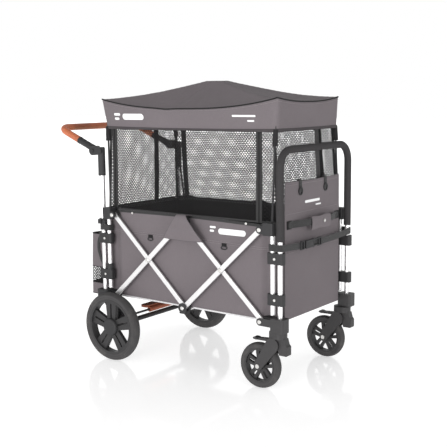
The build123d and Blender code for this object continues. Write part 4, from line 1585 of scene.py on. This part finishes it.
@dataclass(eq=False)
class SideNetting:
    """The open net between the tub and the canopy: four panels of six-sided holes, their tapes and the zips."""

    cell: tuple[float, float] = (0.0130, 0.0071)
    strand: float = 0.00122
    thickness: float = 0.0007
    foot_front: float = 0.4090
    foot_rear: float = -0.4255
    foot_side: float = 0.2290
    foot_end: float = 0.2135
    head_front: float = 0.3885
    head_rear: float = -0.4170
    head_side: float = 0.2035
    foot_z: float = 0.6140
    head_z: float = 0.9460
    thread_share: float = 0.45
    zip_rear: float = 0.044
    zip_front: float = 0.912
    tub: Tub = field(default_factory=Tub)

    def side_point(self, side: Side, along: float, up: float, off: float = 0.0) -> Vector:
        """A point on a long panel.

        Args:
            side: the panel's side.
            along: the share of the way to the front.
            up: the share of the way up.
            off: how far off the net.

        Returns:
            The point.
        """
        foot = between(self.foot_rear, self.foot_front, along)
        x = between(foot, between(self.head_rear, self.head_front, along), up)
        narrow = ease(self.tub.narrowed(foot))
        y = between(between(self.foot_side, self.foot_end, narrow), self.head_side, up)
        slack = 0.0035 * sin(pi * up) * sin(pi * along)
        point = spot(x, 0.0, between(self.foot_z, self.head_z, up))
        slack += crumple(point, (6.0, 6.0, 3.0), 0.0012) * sin(pi * up)
        point.y = side.value * (y - slack + off)
        return point

    def end_point(self, end: End, across: float, up: float, off: float = 0.0) -> Vector:
        """A point on an end panel.

        Args:
            end: the panel's end.
            across: the share of the way to the left.
            up: the share of the way up.
            off: how far off the net.

        Returns:
            The point.
        """
        foot, head = (
            (self.foot_front, self.head_front) if end is End.FRONT else (self.foot_rear, self.head_rear)
        )
        half = between(self.foot_end, self.head_side, up)
        slack = end.value * (0.003 * sin(pi * up) * sin(pi * across) - off)
        return spot(
            between(foot, head, up) - slack, between(-half, half, across), between(self.foot_z, self.head_z, up)
        )

    def net(self, name: str, size: tuple[float, float], surface: Surface) -> Piece:
        """Knit a panel of net.

        Args:
            name: the piece's name.
            size: the panel's width and height.
            surface: gives a point for two shares from 0 to 1.

        Returns:
            The net, with each hole cut and its strands closed.
        """
        columns = 2 * round(size[0] / self.cell[0])
        rows = round(size[1] / self.cell[1])
        lean = 0.22 / rows
        clear_selection()
        bpy.ops.mesh.primitive_grid_add(x_subdivisions=2, y_subdivisions=2, size=2)
        piece = named(name)
        knit = bmesh.new()
        cut = knit.loops.layers.uv.new("UVMap")
        knots: dict[tuple[int, int], bmesh.types.BMVert] = {}

        def knot(column: int, row: int) -> bmesh.types.BMVert:
            """The knot at a column and a row of the flat panel, pulled up or down in turn."""
            column = max(0, min(columns, column))
            if (column, row) not in knots:
                pull = 0.0 if row in (0, rows) else (-lean if (column + row) % 2 else lean)
                knots[column, row] = knit.verts.new((column / columns * size[0], (row / rows + pull) * size[1], 0))
            return knots[column, row]

        for row in range(rows):
            for first in range(-(row % 2), columns, 2):
                ring_of = [(first, row), (first + 1, row), (first + 2, row),
                           (first + 2, row + 1), (first + 1, row + 1), (first, row + 1)]
                corners = list(dict.fromkeys(knot(*place) for place in ring_of))
                if len(corners) > 2:
                    knit.faces.new(corners)
        holes = list(knit.faces)
        knit.normal_update()
        bmesh.ops.inset_individual(knit, faces=holes, thickness=self.strand, use_even_offset=True)
        bmesh.ops.delete(knit, geom=holes, context="FACES")
        for face in knit.faces:
            for loop in face.loops:
                loop[cut].uv = loop.vert.co.xy
        for vertex in knit.verts:
            vertex.co = surface(vertex.co.x / size[0], vertex.co.y / size[1])
        knit.to_mesh(piece.data)
        knit.free()
        thicken(piece, self.thickness, 0.0)
        return piece

    def panels(self) -> Piece:
        """Hang the four panels."""
        height = (self.head_z - self.foot_z) * 1.004
        made = []
        for side in Side:
            length = self.foot_front - self.foot_rear
            piece = self.net(
                f"net_{side.name.lower()}", (length, height), lambda u, v, s=side: self.side_point(s, u, v)
            )
            made.append(placed(NET_YARN, piece, "fold_top", TUB_FOLDED))
        for end in End:
            length = 2 * self.foot_end
            piece = self.net(
                f"net_{end.name.lower()}", (length, height), lambda u, v, e=end: self.end_point(e, u, v)
            )
            placed(NET_YARN, piece, "fold_top", TUB_FOLDED)
        return made[0]

    def zip_lines(self, side: Side) -> tuple[tuple[float, float], tuple[float, float]]:
        """Where a side's two zips have their feet and heads, as shares of its length."""
        rear = self.zip_rear if side is Side.RIGHT else self.zip_rear + 0.030
        return (rear, rear - 0.016), (self.zip_front, self.zip_front + 0.003)

    def tapes(self) -> None:
        """Sew the corner tapes and the zips' bands onto the net."""
        bands = []
        for side in Side:
            off = 0.0015
            for index, (low, high) in enumerate(self.zip_lines(side)):
                route = [self.side_point(side, between(low, high, v / 24), v / 24, off) for v in range(25)]
                bands.append(strap(
                    f"net_zip_{side.name.lower()}_{index}", route, lambda _: AHEAD, 0.026, 0.0018, 0.010
                ))
            for index, along in enumerate((0.004, 0.996)):
                route = [self.side_point(side, along, v / 24, off) for v in range(25)]
                bands.append(strap(
                    f"net_edge_{side.name.lower()}_{index}", route, lambda _: AHEAD, 0.012, 0.0016, 0.010
                ))
            foot = [self.side_point(side, v / 90, 0.012, off) for v in range(91)]
            bands.append(strap(f"net_foot_{side.name.lower()}", foot, lambda _: UP, 0.007, 0.0014, 0.010))
        for end in End:
            route = [self.end_point(end, 0.69, v / 24, 0.0015) for v in range(25)]
            bands.append(strap(f"net_zip_{end.name.lower()}", route, lambda _: ASIDE, 0.028, 0.0018, 0.010))
            foot = [self.end_point(end, v / 45, 0.012, 0.0015) for v in range(46)]
            bands.append(strap(f"net_foot_{end.name.lower()}", foot, lambda _: UP, 0.007, 0.0014, 0.010))
        placed(TAPE, joined("net_tapes", bands), "fold_top", TUB_FOLDED)

    def zips(self) -> None:
        """Run a line of coil teeth down each band."""
        rows = []
        for side in Side:
            for low, high in self.zip_lines(side):
                route = [self.side_point(side, between(low, high, v / 40), v / 40, 0.0030) for v in range(41)]
                rows.append(piping("zip", route, 0.0016))
        placed(BLACK_CORD, joined("net_zip_coils", rows), "fold_top", TUB_FOLDED)

    def build(self) -> None:
        """Make all the netting."""
        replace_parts(self.panels(), "side_netting")
        self.tapes()
        self.zips()


@dataclass(eq=False)
class FloorMat:
    """The padded floor mat, sewn across in channels."""

    channels: int = 7
    rows: int = 3

    def surface(self, u: float, v: float, top: bool) -> Vector:
        """A point on one face of the mat.

        Args:
            u: the share of its length.
            v: the share of its width.
            top: True for the upper face.

        Returns:
            The point.
        """
        low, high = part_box("floor_mat")
        edge = min(1.0, (4 * u * (1 - u) / 0.12)) ** 0.5 * min(1.0, 4 * v * (1 - v) / 0.18) ** 0.5
        along = abs(sin(pi * u * self.channels)) ** 0.45
        across = abs(sin(pi * v * self.rows)) ** 0.45
        puff = edge * (0.35 + 0.65 * along * across)
        middle = between(low.z, high.z, 0.30)
        height = middle + (high.z - middle) * puff if top else middle - (middle - low.z) * edge
        point = Vector((between(low.x, high.x, u), between(low.y, high.y, v), height))
        if top:
            point.z += crumple(point, (26.0, 26.0, 1.0), 0.0007) * edge
        return point

    def build(self) -> None:
        """Make the mat."""
        low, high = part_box("floor_mat")
        size = (high.x - low.x, high.y - low.y)
        upper = cut_cloth("mat_upper", (140, 72), size, lambda u, v: self.surface(u, v, True))
        lower = cut_cloth("mat_lower", (140, 72), size, lambda u, v: self.surface(u, v, False))
        lower.data.flip_normals()
        piece = joined("padded_floor_mat", [upper, lower])
        weld(piece)
        face_outwards(piece)
        smooth(piece, 50)
        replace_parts(piece, "floor_mat")
        placed(MAT_CLOTH, piece, "fold_top", TUB_FOLDED)


@dataclass(eq=False)
class FrontBag:
    """The flat bag on the front: one tall sheet, its two hooks, the carry handle with its wrap, and its mark."""

    left: float = 0.205
    right: float = -0.190
    foot: float = 0.252
    face: float = 0.4185
    hooks: tuple[float, float] = (-0.084, 0.096)
    grip_z: float = 0.603
    grip: tuple[float, float] = (-0.175, 0.196)
    wrap: tuple[float, float] = (-0.044, 0.092)
    belly: float = 0.0012
    marks: tuple[Mark, ...] = (((-0.050, 0.672), (0.056, 0.682)), ((0.026, 0.657), (0.064, 0.663)))

    def point(self, y: float, z: float, off: float = 0.0) -> Vector:
        """A point on the bag's face.

        Args:
            y: its place across.
            z: its height.
            off: how far off the cloth.

        Returns:
            The point.
        """
        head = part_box("front_panel")[1].z
        up = (z - self.foot) / (head - self.foot)
        across = (y - self.right) / (self.left - self.right)
        swell = 0.0
        if up < 0.75:
            crown = sin(pi * max(0.0, min(1.0, across)))
            swell = self.belly * crown * sin(pi * min(1.0, up * 1.3))
        point = spot(self.face + swell + off, y, z)
        point.x += crumple(point, (1.0, 9.0, 6.0), 0.0008)
        return point

    def sheet(self) -> None:
        """Cut the bag's face."""
        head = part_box("front_panel")[1].z
        size = (self.left - self.right, head - self.foot)

        def surface(u: float, v: float) -> Vector:
            """A point on the face, whose top edge dips a little between the hooks."""
            y = between(self.right, self.left, u)
            dip = 0.005 * sin(pi * u) * v**8
            inset = 0.004 * v**6 * (2 * u - 1)
            return self.point(y - inset, between(self.foot, head, v) - dip)

        piece = cut_cloth("front_bag_face", (52, 64), size, surface)
        thicken(piece, 0.0013)
        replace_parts(piece, "front_panel")
        placed(GREY_CANVAS, piece, "front_sliders")
        edges = []
        for y in (self.right + 0.001, self.left - 0.001):
            lean = copysign(0.004, y)
            route = [
                self.point(y - lean * (v / 40) ** 6, between(self.foot, head - 0.002, v / 40), -0.0004)
                for v in range(41)
            ]
            edges.append(piping("edge", route, 0.0015))
        top = [surface(u / 40, 1.0) + Vector((-0.0004, 0, 0)) for u in range(41)]
        edges.append(piping("edge", top, 0.0015))
        placed(GREY_CORD, joined("front_bag_edge", edges), "front_sliders")
        rows = []
        for z in (head - 0.014, 0.642, 0.5):
            row = (between(self.right + 0.008, self.left - 0.008, u / 40) for u in range(41))
            line = Route([self.point(y, z, 0.0003) for y in row])
            rows.append(stitches("row", line, lambda _: AHEAD, 0.0075))
        placed(THREAD_GREY, joined("front_bag_stitches", rows), "front_sliders")

    def straps(self) -> None:
        """Hang the hooks and sew on the handle."""
        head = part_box("front_panel")[1].z
        for index, y in enumerate(self.hooks):
            route = rounded([
                spot(self.face - 0.010, y, head - 0.030), spot(self.face - 0.010, y, head + 0.004),
                spot(self.face + 0.0015, y, head + 0.004), spot(self.face + 0.0019, y, head - 0.044),
            ], 0.005)
            tape = strap(f"bag_hook_strap_{index}", route, lambda _: ASIDE, 0.019, 0.0014, 0.004)
            placed(TAPE, tape, "front_sliders")
            slider = ring(
                f"bag_hook_ring_{index}", spot(self.face + 0.0030, y, head - 0.040), AHEAD,
                (0.0140, 0.0165), 0.0032,
            )
            placed(BLACK_PLASTIC, slider, "front_sliders")
        low, high = self.grip
        line = [
            spot(self.face + 0.002, low, self.grip_z),
            spot(self.face + 0.004, low + 0.035, self.grip_z),
            spot(self.face + 0.024, self.wrap[0] - 0.012, self.grip_z),
            spot(self.face + 0.026, self.wrap[1] + 0.012, self.grip_z),
            spot(self.face + 0.004, high - 0.030, self.grip_z),
            spot(self.face + 0.002, high, self.grip_z),
        ]
        handle = strap("bag_handle", rounded(line, 0.05), lambda _: UP, 0.025, 0.0022, 0.005)
        placed(TAPE, handle, "front_sliders")
        for name, y in (("right", low + 0.014), ("left", high - 0.012)):
            patch = block(
                f"bag_handle_patch_{name}", spot(self.face + 0.0022, y, self.grip_z),
                (0.0034, 0.030, 0.031), 0.0013,
            )
            placed(BLACK_CORD, patch, "front_sliders")

    def wrap_point(self, u: float, v: float) -> Vector:
        """A point on the wrap, which is folded round the handle and closed below it."""
        y = between(self.wrap[0], self.wrap[1], u)
        bow = 0.0255 + 0.002 * sin(pi * u)
        turn = 2 * pi * v
        half = 0.0245 + 0.0014 * sin(9 * u + 1)
        lift = -0.006 + half * sin(turn)
        depth = 0.0042 * cos(turn) * (1 - 0.25 * sin(pi * u))
        point = spot(self.face + bow + depth, y, self.grip_z + lift)
        point.x += crumple(point, (1.0, 30.0, 16.0), 0.0008)
        return point

    def cover(self) -> None:
        """Fold the grey wrap round the handle."""
        size = (self.wrap[1] - self.wrap[0], 0.100)
        piece = cut_cloth("bag_handle_wrap", (30, 40), size, self.wrap_point)
        weld(piece)
        thicken(piece, 0.0012)
        placed(GREY_CANVAS, piece, "front_sliders")
        disc = button(
            "bag_wrap_snap", spot(self.face + 0.0320, between(*self.wrap, 0.62), self.grip_z - 0.004),
            AHEAD, 0.0065, 0.0030,
        )
        placed(ZINC, disc, "front_sliders")

    def print_marks(self) -> None:
        """Print the plain bars."""
        print_bars("front_bag_marks", self.marks, lambda y, z: self.point(y, z, 0.0004), "front_sliders")

    def build(self) -> None:
        """Make the whole bag."""
        self.sheet()
        self.straps()
        self.cover()
        self.print_marks()


@dataclass(eq=False)
class LegStraps:
    """The belts round the twin tubes: a buckled one at the front and a plain one at the rear."""

    reach: float = 0.2562
    width: float = 0.024
    sag: float = 0.010
    buckle: tuple[float, float] = (-0.130, 0.014)
    ends: float = 0.391
    rear_lift: float = 0.006

    def belt(self, name: str, face: float, back: float, z: float, body: str) -> Piece:
        """Wrap one belt.

        Args:
            name: the piece's name.
            face: where its long run lies along X.
            back: where its ends come round to.
            z: its height at the tubes.
            body: the body that carries it.

        Returns:
            The belt.
        """
        corners = [
            spot(back, -self.reach + 0.022, z), spot(back, -self.reach, z),
            spot(face, -self.reach, z), spot(face, self.reach, z),
            spot(back, self.reach, z), spot(back, self.reach - 0.022, z),
        ]
        line = Route(rounded(corners, 0.010))
        route = []
        for index in range(161):
            point = line.at(index / 160)
            point.z -= self.sag * max(0.0, 1 - (point.y / self.reach) ** 2)
            route.append(point)
        return placed(TAPE, strap(name, route, lambda _: UP, self.width, 0.0015, 0.005), body)

    def clasp(self, face: float, z: float) -> None:
        """Mould the side-release buckle: a frame, two curved prongs and the ladder that the belt passes.

        Args:
            face: where the belt's face lies along X.
            z: the belt's height at the tubes.
        """
        low, high = self.buckle
        z -= self.sag * (1 - (low / self.reach) ** 2)
        x = face + 0.0035
        body = block("belt_buckle_body", spot(x, between(low, high, 0.42), z), (0.0105, 0.056, 0.031), 0.0032)
        with editing(body) as mesh:
            select_faces(body, mesh, lambda flat: flat.normal.x > 0.95 and flat.calc_area() > 2e-4)
            bpy.ops.mesh.inset(thickness=0.0040, depth=-0.0012)
            bpy.ops.mesh.inset(thickness=0.0016, depth=0.0006)
        prongs = []
        for end in (-1, 1):
            arc = []
            for step in range(9):
                bow = 0.0145 - 0.0035 * sin(pi * step / 8)
                arc.append(spot(x, between(low, high, 0.60 + 0.28 * step / 8), z + end * bow))
            prongs.append(piping("prong", arc, 0.0034))
        bars = [
            block("bar", spot(x, between(low, high, share), z), (0.0080, 0.0048, 0.031), 0.0016)
            for share in (0.02, 0.13, 0.88, 0.98)
        ]
        rails = [
            block("rail", spot(x, between(low, high, share), z + end * 0.0140), (0.0075, 0.022, 0.0040), 0.0012)
            for end in (-1, 1)
            for share in (0.075, 0.93)
        ]
        buckle = joined("belt_buckle", [body, *prongs, *bars, *rails])
        smooth(buckle, 40)
        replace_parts(buckle, "strap_buckle")
        placed(BLACK_PLASTIC, buckle, "front_frame")

    def build(self) -> None:
        """Make both belts."""
        low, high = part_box("leg_strap")
        middle = (low.z + high.z) / 2 + self.sag / 2
        face = high.x - LAYOUT.middle - 0.0007
        front = self.belt("front_belt", face, self.ends, middle, "front_frame")
        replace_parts(front, "leg_strap")
        self.clasp(face, middle)
        self.belt("rear_belt", -face, -self.ends, middle + self.rear_lift, "rear_frame")


@dataclass(eq=False)
class RearBasket:
    """The basket behind: grey collar and foot, a band of net between, bound edges and the curved side straps."""

    corner: float = 0.030
    bands: tuple[float, float] = (0.288, 0.357)
    belly: float = 0.007
    strap_corners: tuple[Colour, ...] = (
        (-0.449, 0.985, 0.528), (-0.474, 1.0, 0.508), (-0.495, 1.0, 0.470),
        (-0.496, 1.0, 0.430), (-0.482, 1.0, 0.392), (-0.462, 1.0, 0.360),
    )

    def outline(self, inset: float) -> Route:
        """The basket's plan, from the middle of its front."""
        low, high = LAYOUT.basket
        rear, front, side = low.x + self.belly + inset, high.x - 0.002 - inset, high.y - 0.003 - inset
        corners = [(front, 0), (front, side), (rear, side), (rear, -side), (front, -side)]
        return Route(rounded([Vector((x, y, 0)) for x, y in corners], self.corner, closed=True), closed=True)

    def point(self, line: Route, around: float, z: float, off: float = 0.0) -> Vector:
        """A point on the basket's wall.

        Args:
            line: the wall's plan.
            around: the share of the way round.
            z: its height.
            off: how far off the cloth.

        Returns:
            The point.
        """
        low, high = LAYOUT.basket
        point = line.at(around % 1.0)
        way = line.heading(around % 1.0)
        out = Vector((way.y, -way.x, 0.0))
        up = (z - low.z) / (high.z - low.z)
        rear = max(0.0, -out.x)
        swell = rear * self.belly * (1 - up) ** 0.7 - 0.003 * rear * up
        point.z = z - (0.006 * rear * cos(pi * point.y / 0.43) if up > 0.5 else 0.0) * up
        return point + out * (swell + off + crumple(point, (8.0, 8.0, 5.0), 0.0016))

    def band(self, name: str, line: Route, heights: tuple[float, float], rows: int) -> Piece:
        """Cut one band of the wall."""
        foot, head = heights
        return cut_cloth(
            name, (150, rows), (line.length, head - foot),
            lambda u, v: self.point(line, u, between(foot, head, v)), closed=True,
        )

    def build(self) -> None:
        """Make the whole basket."""
        low, high = LAYOUT.basket
        line = self.outline(0.0)
        pieces = []
        for name, heights, rows in (
            ("basket_foot", (low.z + 0.001, self.bands[0]), 8),
            ("basket_collar", (self.bands[1], high.z - 0.002), 18),
        ):
            cloth = thicken(self.band(name, line, heights, rows), 0.0014)
            pieces.append(placed(GREY_CANVAS, cloth, "rear_frame"))
        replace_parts(pieces[1], "rear_basket")
        size = (line.length, self.bands[1] - self.bands[0])
        knitting = SideNetting()
        net = knitting.net("basket_net", size, lambda u, v: self.point(line, u, between(*self.bands, v), -0.0007))
        placed(NET_YARN, net, "rear_frame")
        floor = cut_cloth(
            "basket_floor", (24, 44), (high.x - low.x - 0.012, 2 * high.y - 0.012),
            lambda u, v: Vector((
                between(low.x + 0.010, high.x - 0.005, u),
                between(-high.y + 0.006, high.y - 0.006, v) * (1 - 0.10 * max(0.0, 1 - u / 0.25) ** 2),
                low.z + 0.003 - 0.002 * sin(pi * u) * sin(pi * v),
            )),
        )
        thicken(floor, 0.0014)
        placed(BLACK_LINING, floor, "rear_frame")
        bound = (*((z, 0.0016) for z in self.bands), (high.z - 0.002, 0.0024), (low.z + 0.002, 0.0016))
        edges = []
        for z, radius in bound:
            route = [self.point(line, index / 160, z, -0.0004) for index in range(160)]
            edges.append(piping("edge", route, radius, closed=True))
        placed(BLACK_CORD, joined("basket_edges", edges), "rear_frame")
        for side in Side:
            self.side_strap(side)

    def side_strap(self, side: Side) -> None:
        """Sew on the bowed strap at one side."""
        face = side.value * (LAYOUT.basket[1].y + 0.0005)
        corners = [spot(x, face * pulled, z) for x, pulled, z in self.strap_corners]
        route = rounded(corners, 0.05)
        line = Route(route)
        piece = strap(
            f"basket_strap_{side.name.lower()}", route,
            lambda share: line.heading(share).cross(ASIDE), 0.014, 0.0020, 0.005,
        )
        placed(TAPE, piece, "rear_frame")


@dataclass(eq=False)
class HandleTrim:
    """The seam along the leather grip and its end collars."""

    hinge: tuple[float, float] = (-0.472, 0.852)
    way: tuple[float, float] = (-0.9245, 0.3811)
    start: float = 0.103
    reach: float = 0.236
    side: float = 0.233
    radius: float = 0.014
    bend: float = 0.0305

    def spot(self, along: float, y: float) -> Vector:
        """A point on the loop's middle line, by its way from the hinge."""
        return spot(self.hinge[0] + self.way[0] * along, y, self.hinge[1] + self.way[1] * along)

    def build(self) -> None:
        """Sew the grip's seam on its inner side, and add the two collars."""
        inner = self.radius
        corners = [
            self.spot(self.start + 0.004, -self.side + inner), self.spot(self.reach - inner, -self.side + inner),
            self.spot(self.reach - inner, self.side - inner), self.spot(self.start + 0.004, self.side - inner),
        ]
        flat = Vector((self.way[0], 0.0, self.way[1]))
        normal = flat.cross(ASIDE)
        line = Route(rounded(corners, self.bend + 0.006, steps=10))

        def out(share: float) -> Vector:
            """The way off the leather, towards the inside of the loop."""
            return normal.cross(line.heading(share))

        rows = []
        for sideways in (-0.0022, 0.0022):
            moved = Route([point + normal * sideways for point in line.points])
            rows.append(stitches("seam", moved, lambda share: out(share) * -1, 0.0058))
        placed(THREAD_TAN, joined("grip_seam", rows), "handle")
        for name, y in (("right", -self.side), ("left", self.side)):
            route = [self.spot(self.start - 0.004 + share * 0.006, y) for share in (0.0, 0.5, 1.0)]
            collar = piping(f"grip_collar_{name}", route, self.radius + 0.0012, sides=8)
            placed(BLACK_PLASTIC, collar, "handle")


# ---- the frame's own pieces ----

FRAME_FINISHES: tuple[tuple[Finish, tuple[str, ...]], ...] = (
    (SILVER_ARM, ("outer_arms", "inner_arms", "bottom_cross_tube")),
    (SILVER_TUBE, ("inner_tubes", "u_bar", "rear_posts", "handle_loop", "handle_tubes")),
    (ZINC, ("bolts", "rivets", "caster_axle")),
    (BAR_FOAM, ("u_bar_foam",)),
    (TAN_LEATHER, ("handle_grip",)),
    (GREY_PLASTIC, ("caster_housings", "caster_yoke", "caster_lock_lever")),
    (RIM_PLASTIC, ("rim_left", "rim_right")),
    (TYRE, ("tyre_",)),
    (PEDAL_PLASTIC, ("brake_pedal",)),
    (BLACK_PLASTIC, ("brackets", "collars", "sockets", "strap_buckle", "hinge_button", "canopy_rods", "rear_axle",
                     "brake_shaft", "hub_cap", "rear_housings")),
    (GREY_CANVAS, ("tub", "canopy", "front_panel", "rear_basket")),
    (BLACK_LINING, ("floor_mat", "side_netting", "leg_strap")),
)


def finish_for(node: str) -> Finish:
    """The finish of a frame piece, by the longest name that its own contains.

    Args:
        node: the piece's name.

    Returns:
        Its finish.
    """
    found = [(len(part), finish) for finish, parts in FRAME_FINISHES for part in parts if part in node]
    return max(found, key=lambda pair: pair[0])[1]


def dress_frame() -> None:
    """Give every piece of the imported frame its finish."""
    for name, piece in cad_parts.items():
        finish = finish_for(name)
        for slot in piece.material_slots:
            slot.material = finish.material()
        log.info("%s: %s", name, finish.name)


# ---- the studio ----


@dataclass(frozen=True)
class Floor(Finish):
    """A pale polished studio floor with a faint cloudiness."""

    def build(self, shader: Shader) -> None:
        """Fill in the shader.

        Args:
            shader: the material's empty shader.
        """
        cloud = shader.grain(shader.coordinates(self.coordinates), 0.8, 3.0)
        shader.dress(
            Base_Color=shader.mix(cloud, self.colour, shade(self.colour, 0.985)),
            Roughness=0.07 + 0.03 * cloud,
            Specular_IOR_Level=0.5,
            Emission_Color=(1.0, 1.0, 1.0),
            Emission_Strength=0.50,
        )


STUDIO_FLOOR = Floor("studio_floor", "grey_cloth", (0.93, 0.93, 0.93))


@dataclass
class Lamp:
    """A soft box light."""

    name: str
    place: tuple[float, float, float]
    size: float
    power: float

    def build(self, target: Vector) -> None:
        """Hang the light and point it.

        Args:
            target: what it shines on.
        """
        light = bpy.data.lights.new(self.name, "AREA")
        light.shape, light.size, light.energy = "SQUARE", self.size, self.power
        hung = bpy.data.objects.new(self.name, light)
        bpy.context.scene.collection.objects.link(hung)
        hung.location = self.place
        hung.rotation_euler = (Vector(self.place) - target).to_track_quat("Z", "Y").to_euler()


@dataclass
class Studio:
    """The floor, the white surroundings, the soft lights and the camera."""

    azimuth: float = radians(36.93)
    elevation: float = radians(8.49)
    roll: float = radians(-0.64)
    lens: float = 36.0 * 866.64 / 447
    target: tuple[float, float, float] = (-0.00369, 0.00736, 0.55422)
    distance: float = 3.52889
    surroundings: float = 1.0
    overhead: float = 0.35
    fade: tuple[float, float] = (0.2, 0.8)
    floor_size: float = 60.0
    lamps: tuple[Lamp, ...] = (
        Lamp("side_light", (0.9, -6.0, 0.9), 2.6, 210.0),
        Lamp("end_light", (5.6, -1.6, 0.9), 2.2, 75.0),
    )

    def floor(self) -> None:
        """Lay the floor."""
        clear_selection()
        bpy.ops.mesh.primitive_grid_add(x_subdivisions=8, y_subdivisions=8, size=self.floor_size)
        floor = named("studio_floor")
        floor.data.materials.append(STUDIO_FLOOR.material())
        floor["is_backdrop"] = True

    def sky(self) -> None:
        """Surround the scene with white that dims overhead."""
        world = bpy.data.worlds.new("studio_white")
        world.use_nodes = True
        sky = NodeTree(world.node_tree)
        height = sky.parts(sky.coordinates(Coordinates.SKY))[2]
        low, high = self.fade
        dimmed = self.surroundings + (self.overhead - self.surroundings) * sky.step(height, low, high)
        light = sky.node("ShaderNodeBackground", sockets={"Color": (1.0, 1.0, 1.0, 1.0), "Strength": dimmed})
        output = sky.node("ShaderNodeOutputWorld")
        sky.tree.links.new(light.outputs[0], output.inputs["Surface"])
        bpy.context.scene.world = world

    def camera(self) -> None:
        """Set up the camera."""
        made = bpy.data.cameras.new("view_camera")
        made.lens, made.sensor_width, made.sensor_fit = self.lens, 36.0, "HORIZONTAL"
        made.clip_end = 200.0
        viewer = bpy.data.objects.new("view_camera", made)
        bpy.context.scene.collection.objects.link(viewer)
        flat = cos(self.elevation)
        back = Vector((sin(self.azimuth) * flat, -cos(self.azimuth) * flat, sin(self.elevation)))
        right = Vector((cos(self.azimuth), sin(self.azimuth), 0.0))
        up = back.cross(right)
        across = right * cos(self.roll) + up * sin(self.roll)
        upright = up * cos(self.roll) - right * sin(self.roll)
        turn = Matrix((across, upright, back)).transposed().to_4x4()
        place = spot(*self.target) + back * self.distance
        viewer.matrix_world = Matrix.Translation(place) @ turn
        bpy.context.scene.camera = viewer

    def build(self) -> None:
        """Make the studio."""
        self.floor()
        self.sky()
        for lamp in self.lamps:
            lamp.build(spot(*self.target))
        bpy.context.scene.view_settings.view_transform = "Standard"
        self.camera()


def write_size() -> None:
    """Measure the frame's box and the dressed wagon's."""
    boxes = {"cad": CAD_BOX, "visual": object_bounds()}
    {name: [list(map(float, corner)) for corner in pair] for name, pair in boxes.items()}


def main() -> None:
    """Dress the frame and build each sub-assembly in order."""
    logging.basicConfig(level=logging.INFO, format="%(name)s: %(message)s")
    dress_frame()
    for kind in (Tub, FloorMat, CanopyTop, SideNetting, FrontBag, LegStraps, RearBasket, HandleTrim):
        log.info("building %s", kind.__name__)
        kind().build()
    Studio().build()
    clear_selection()
    write_size()


if __name__ == "__main__":
    main()
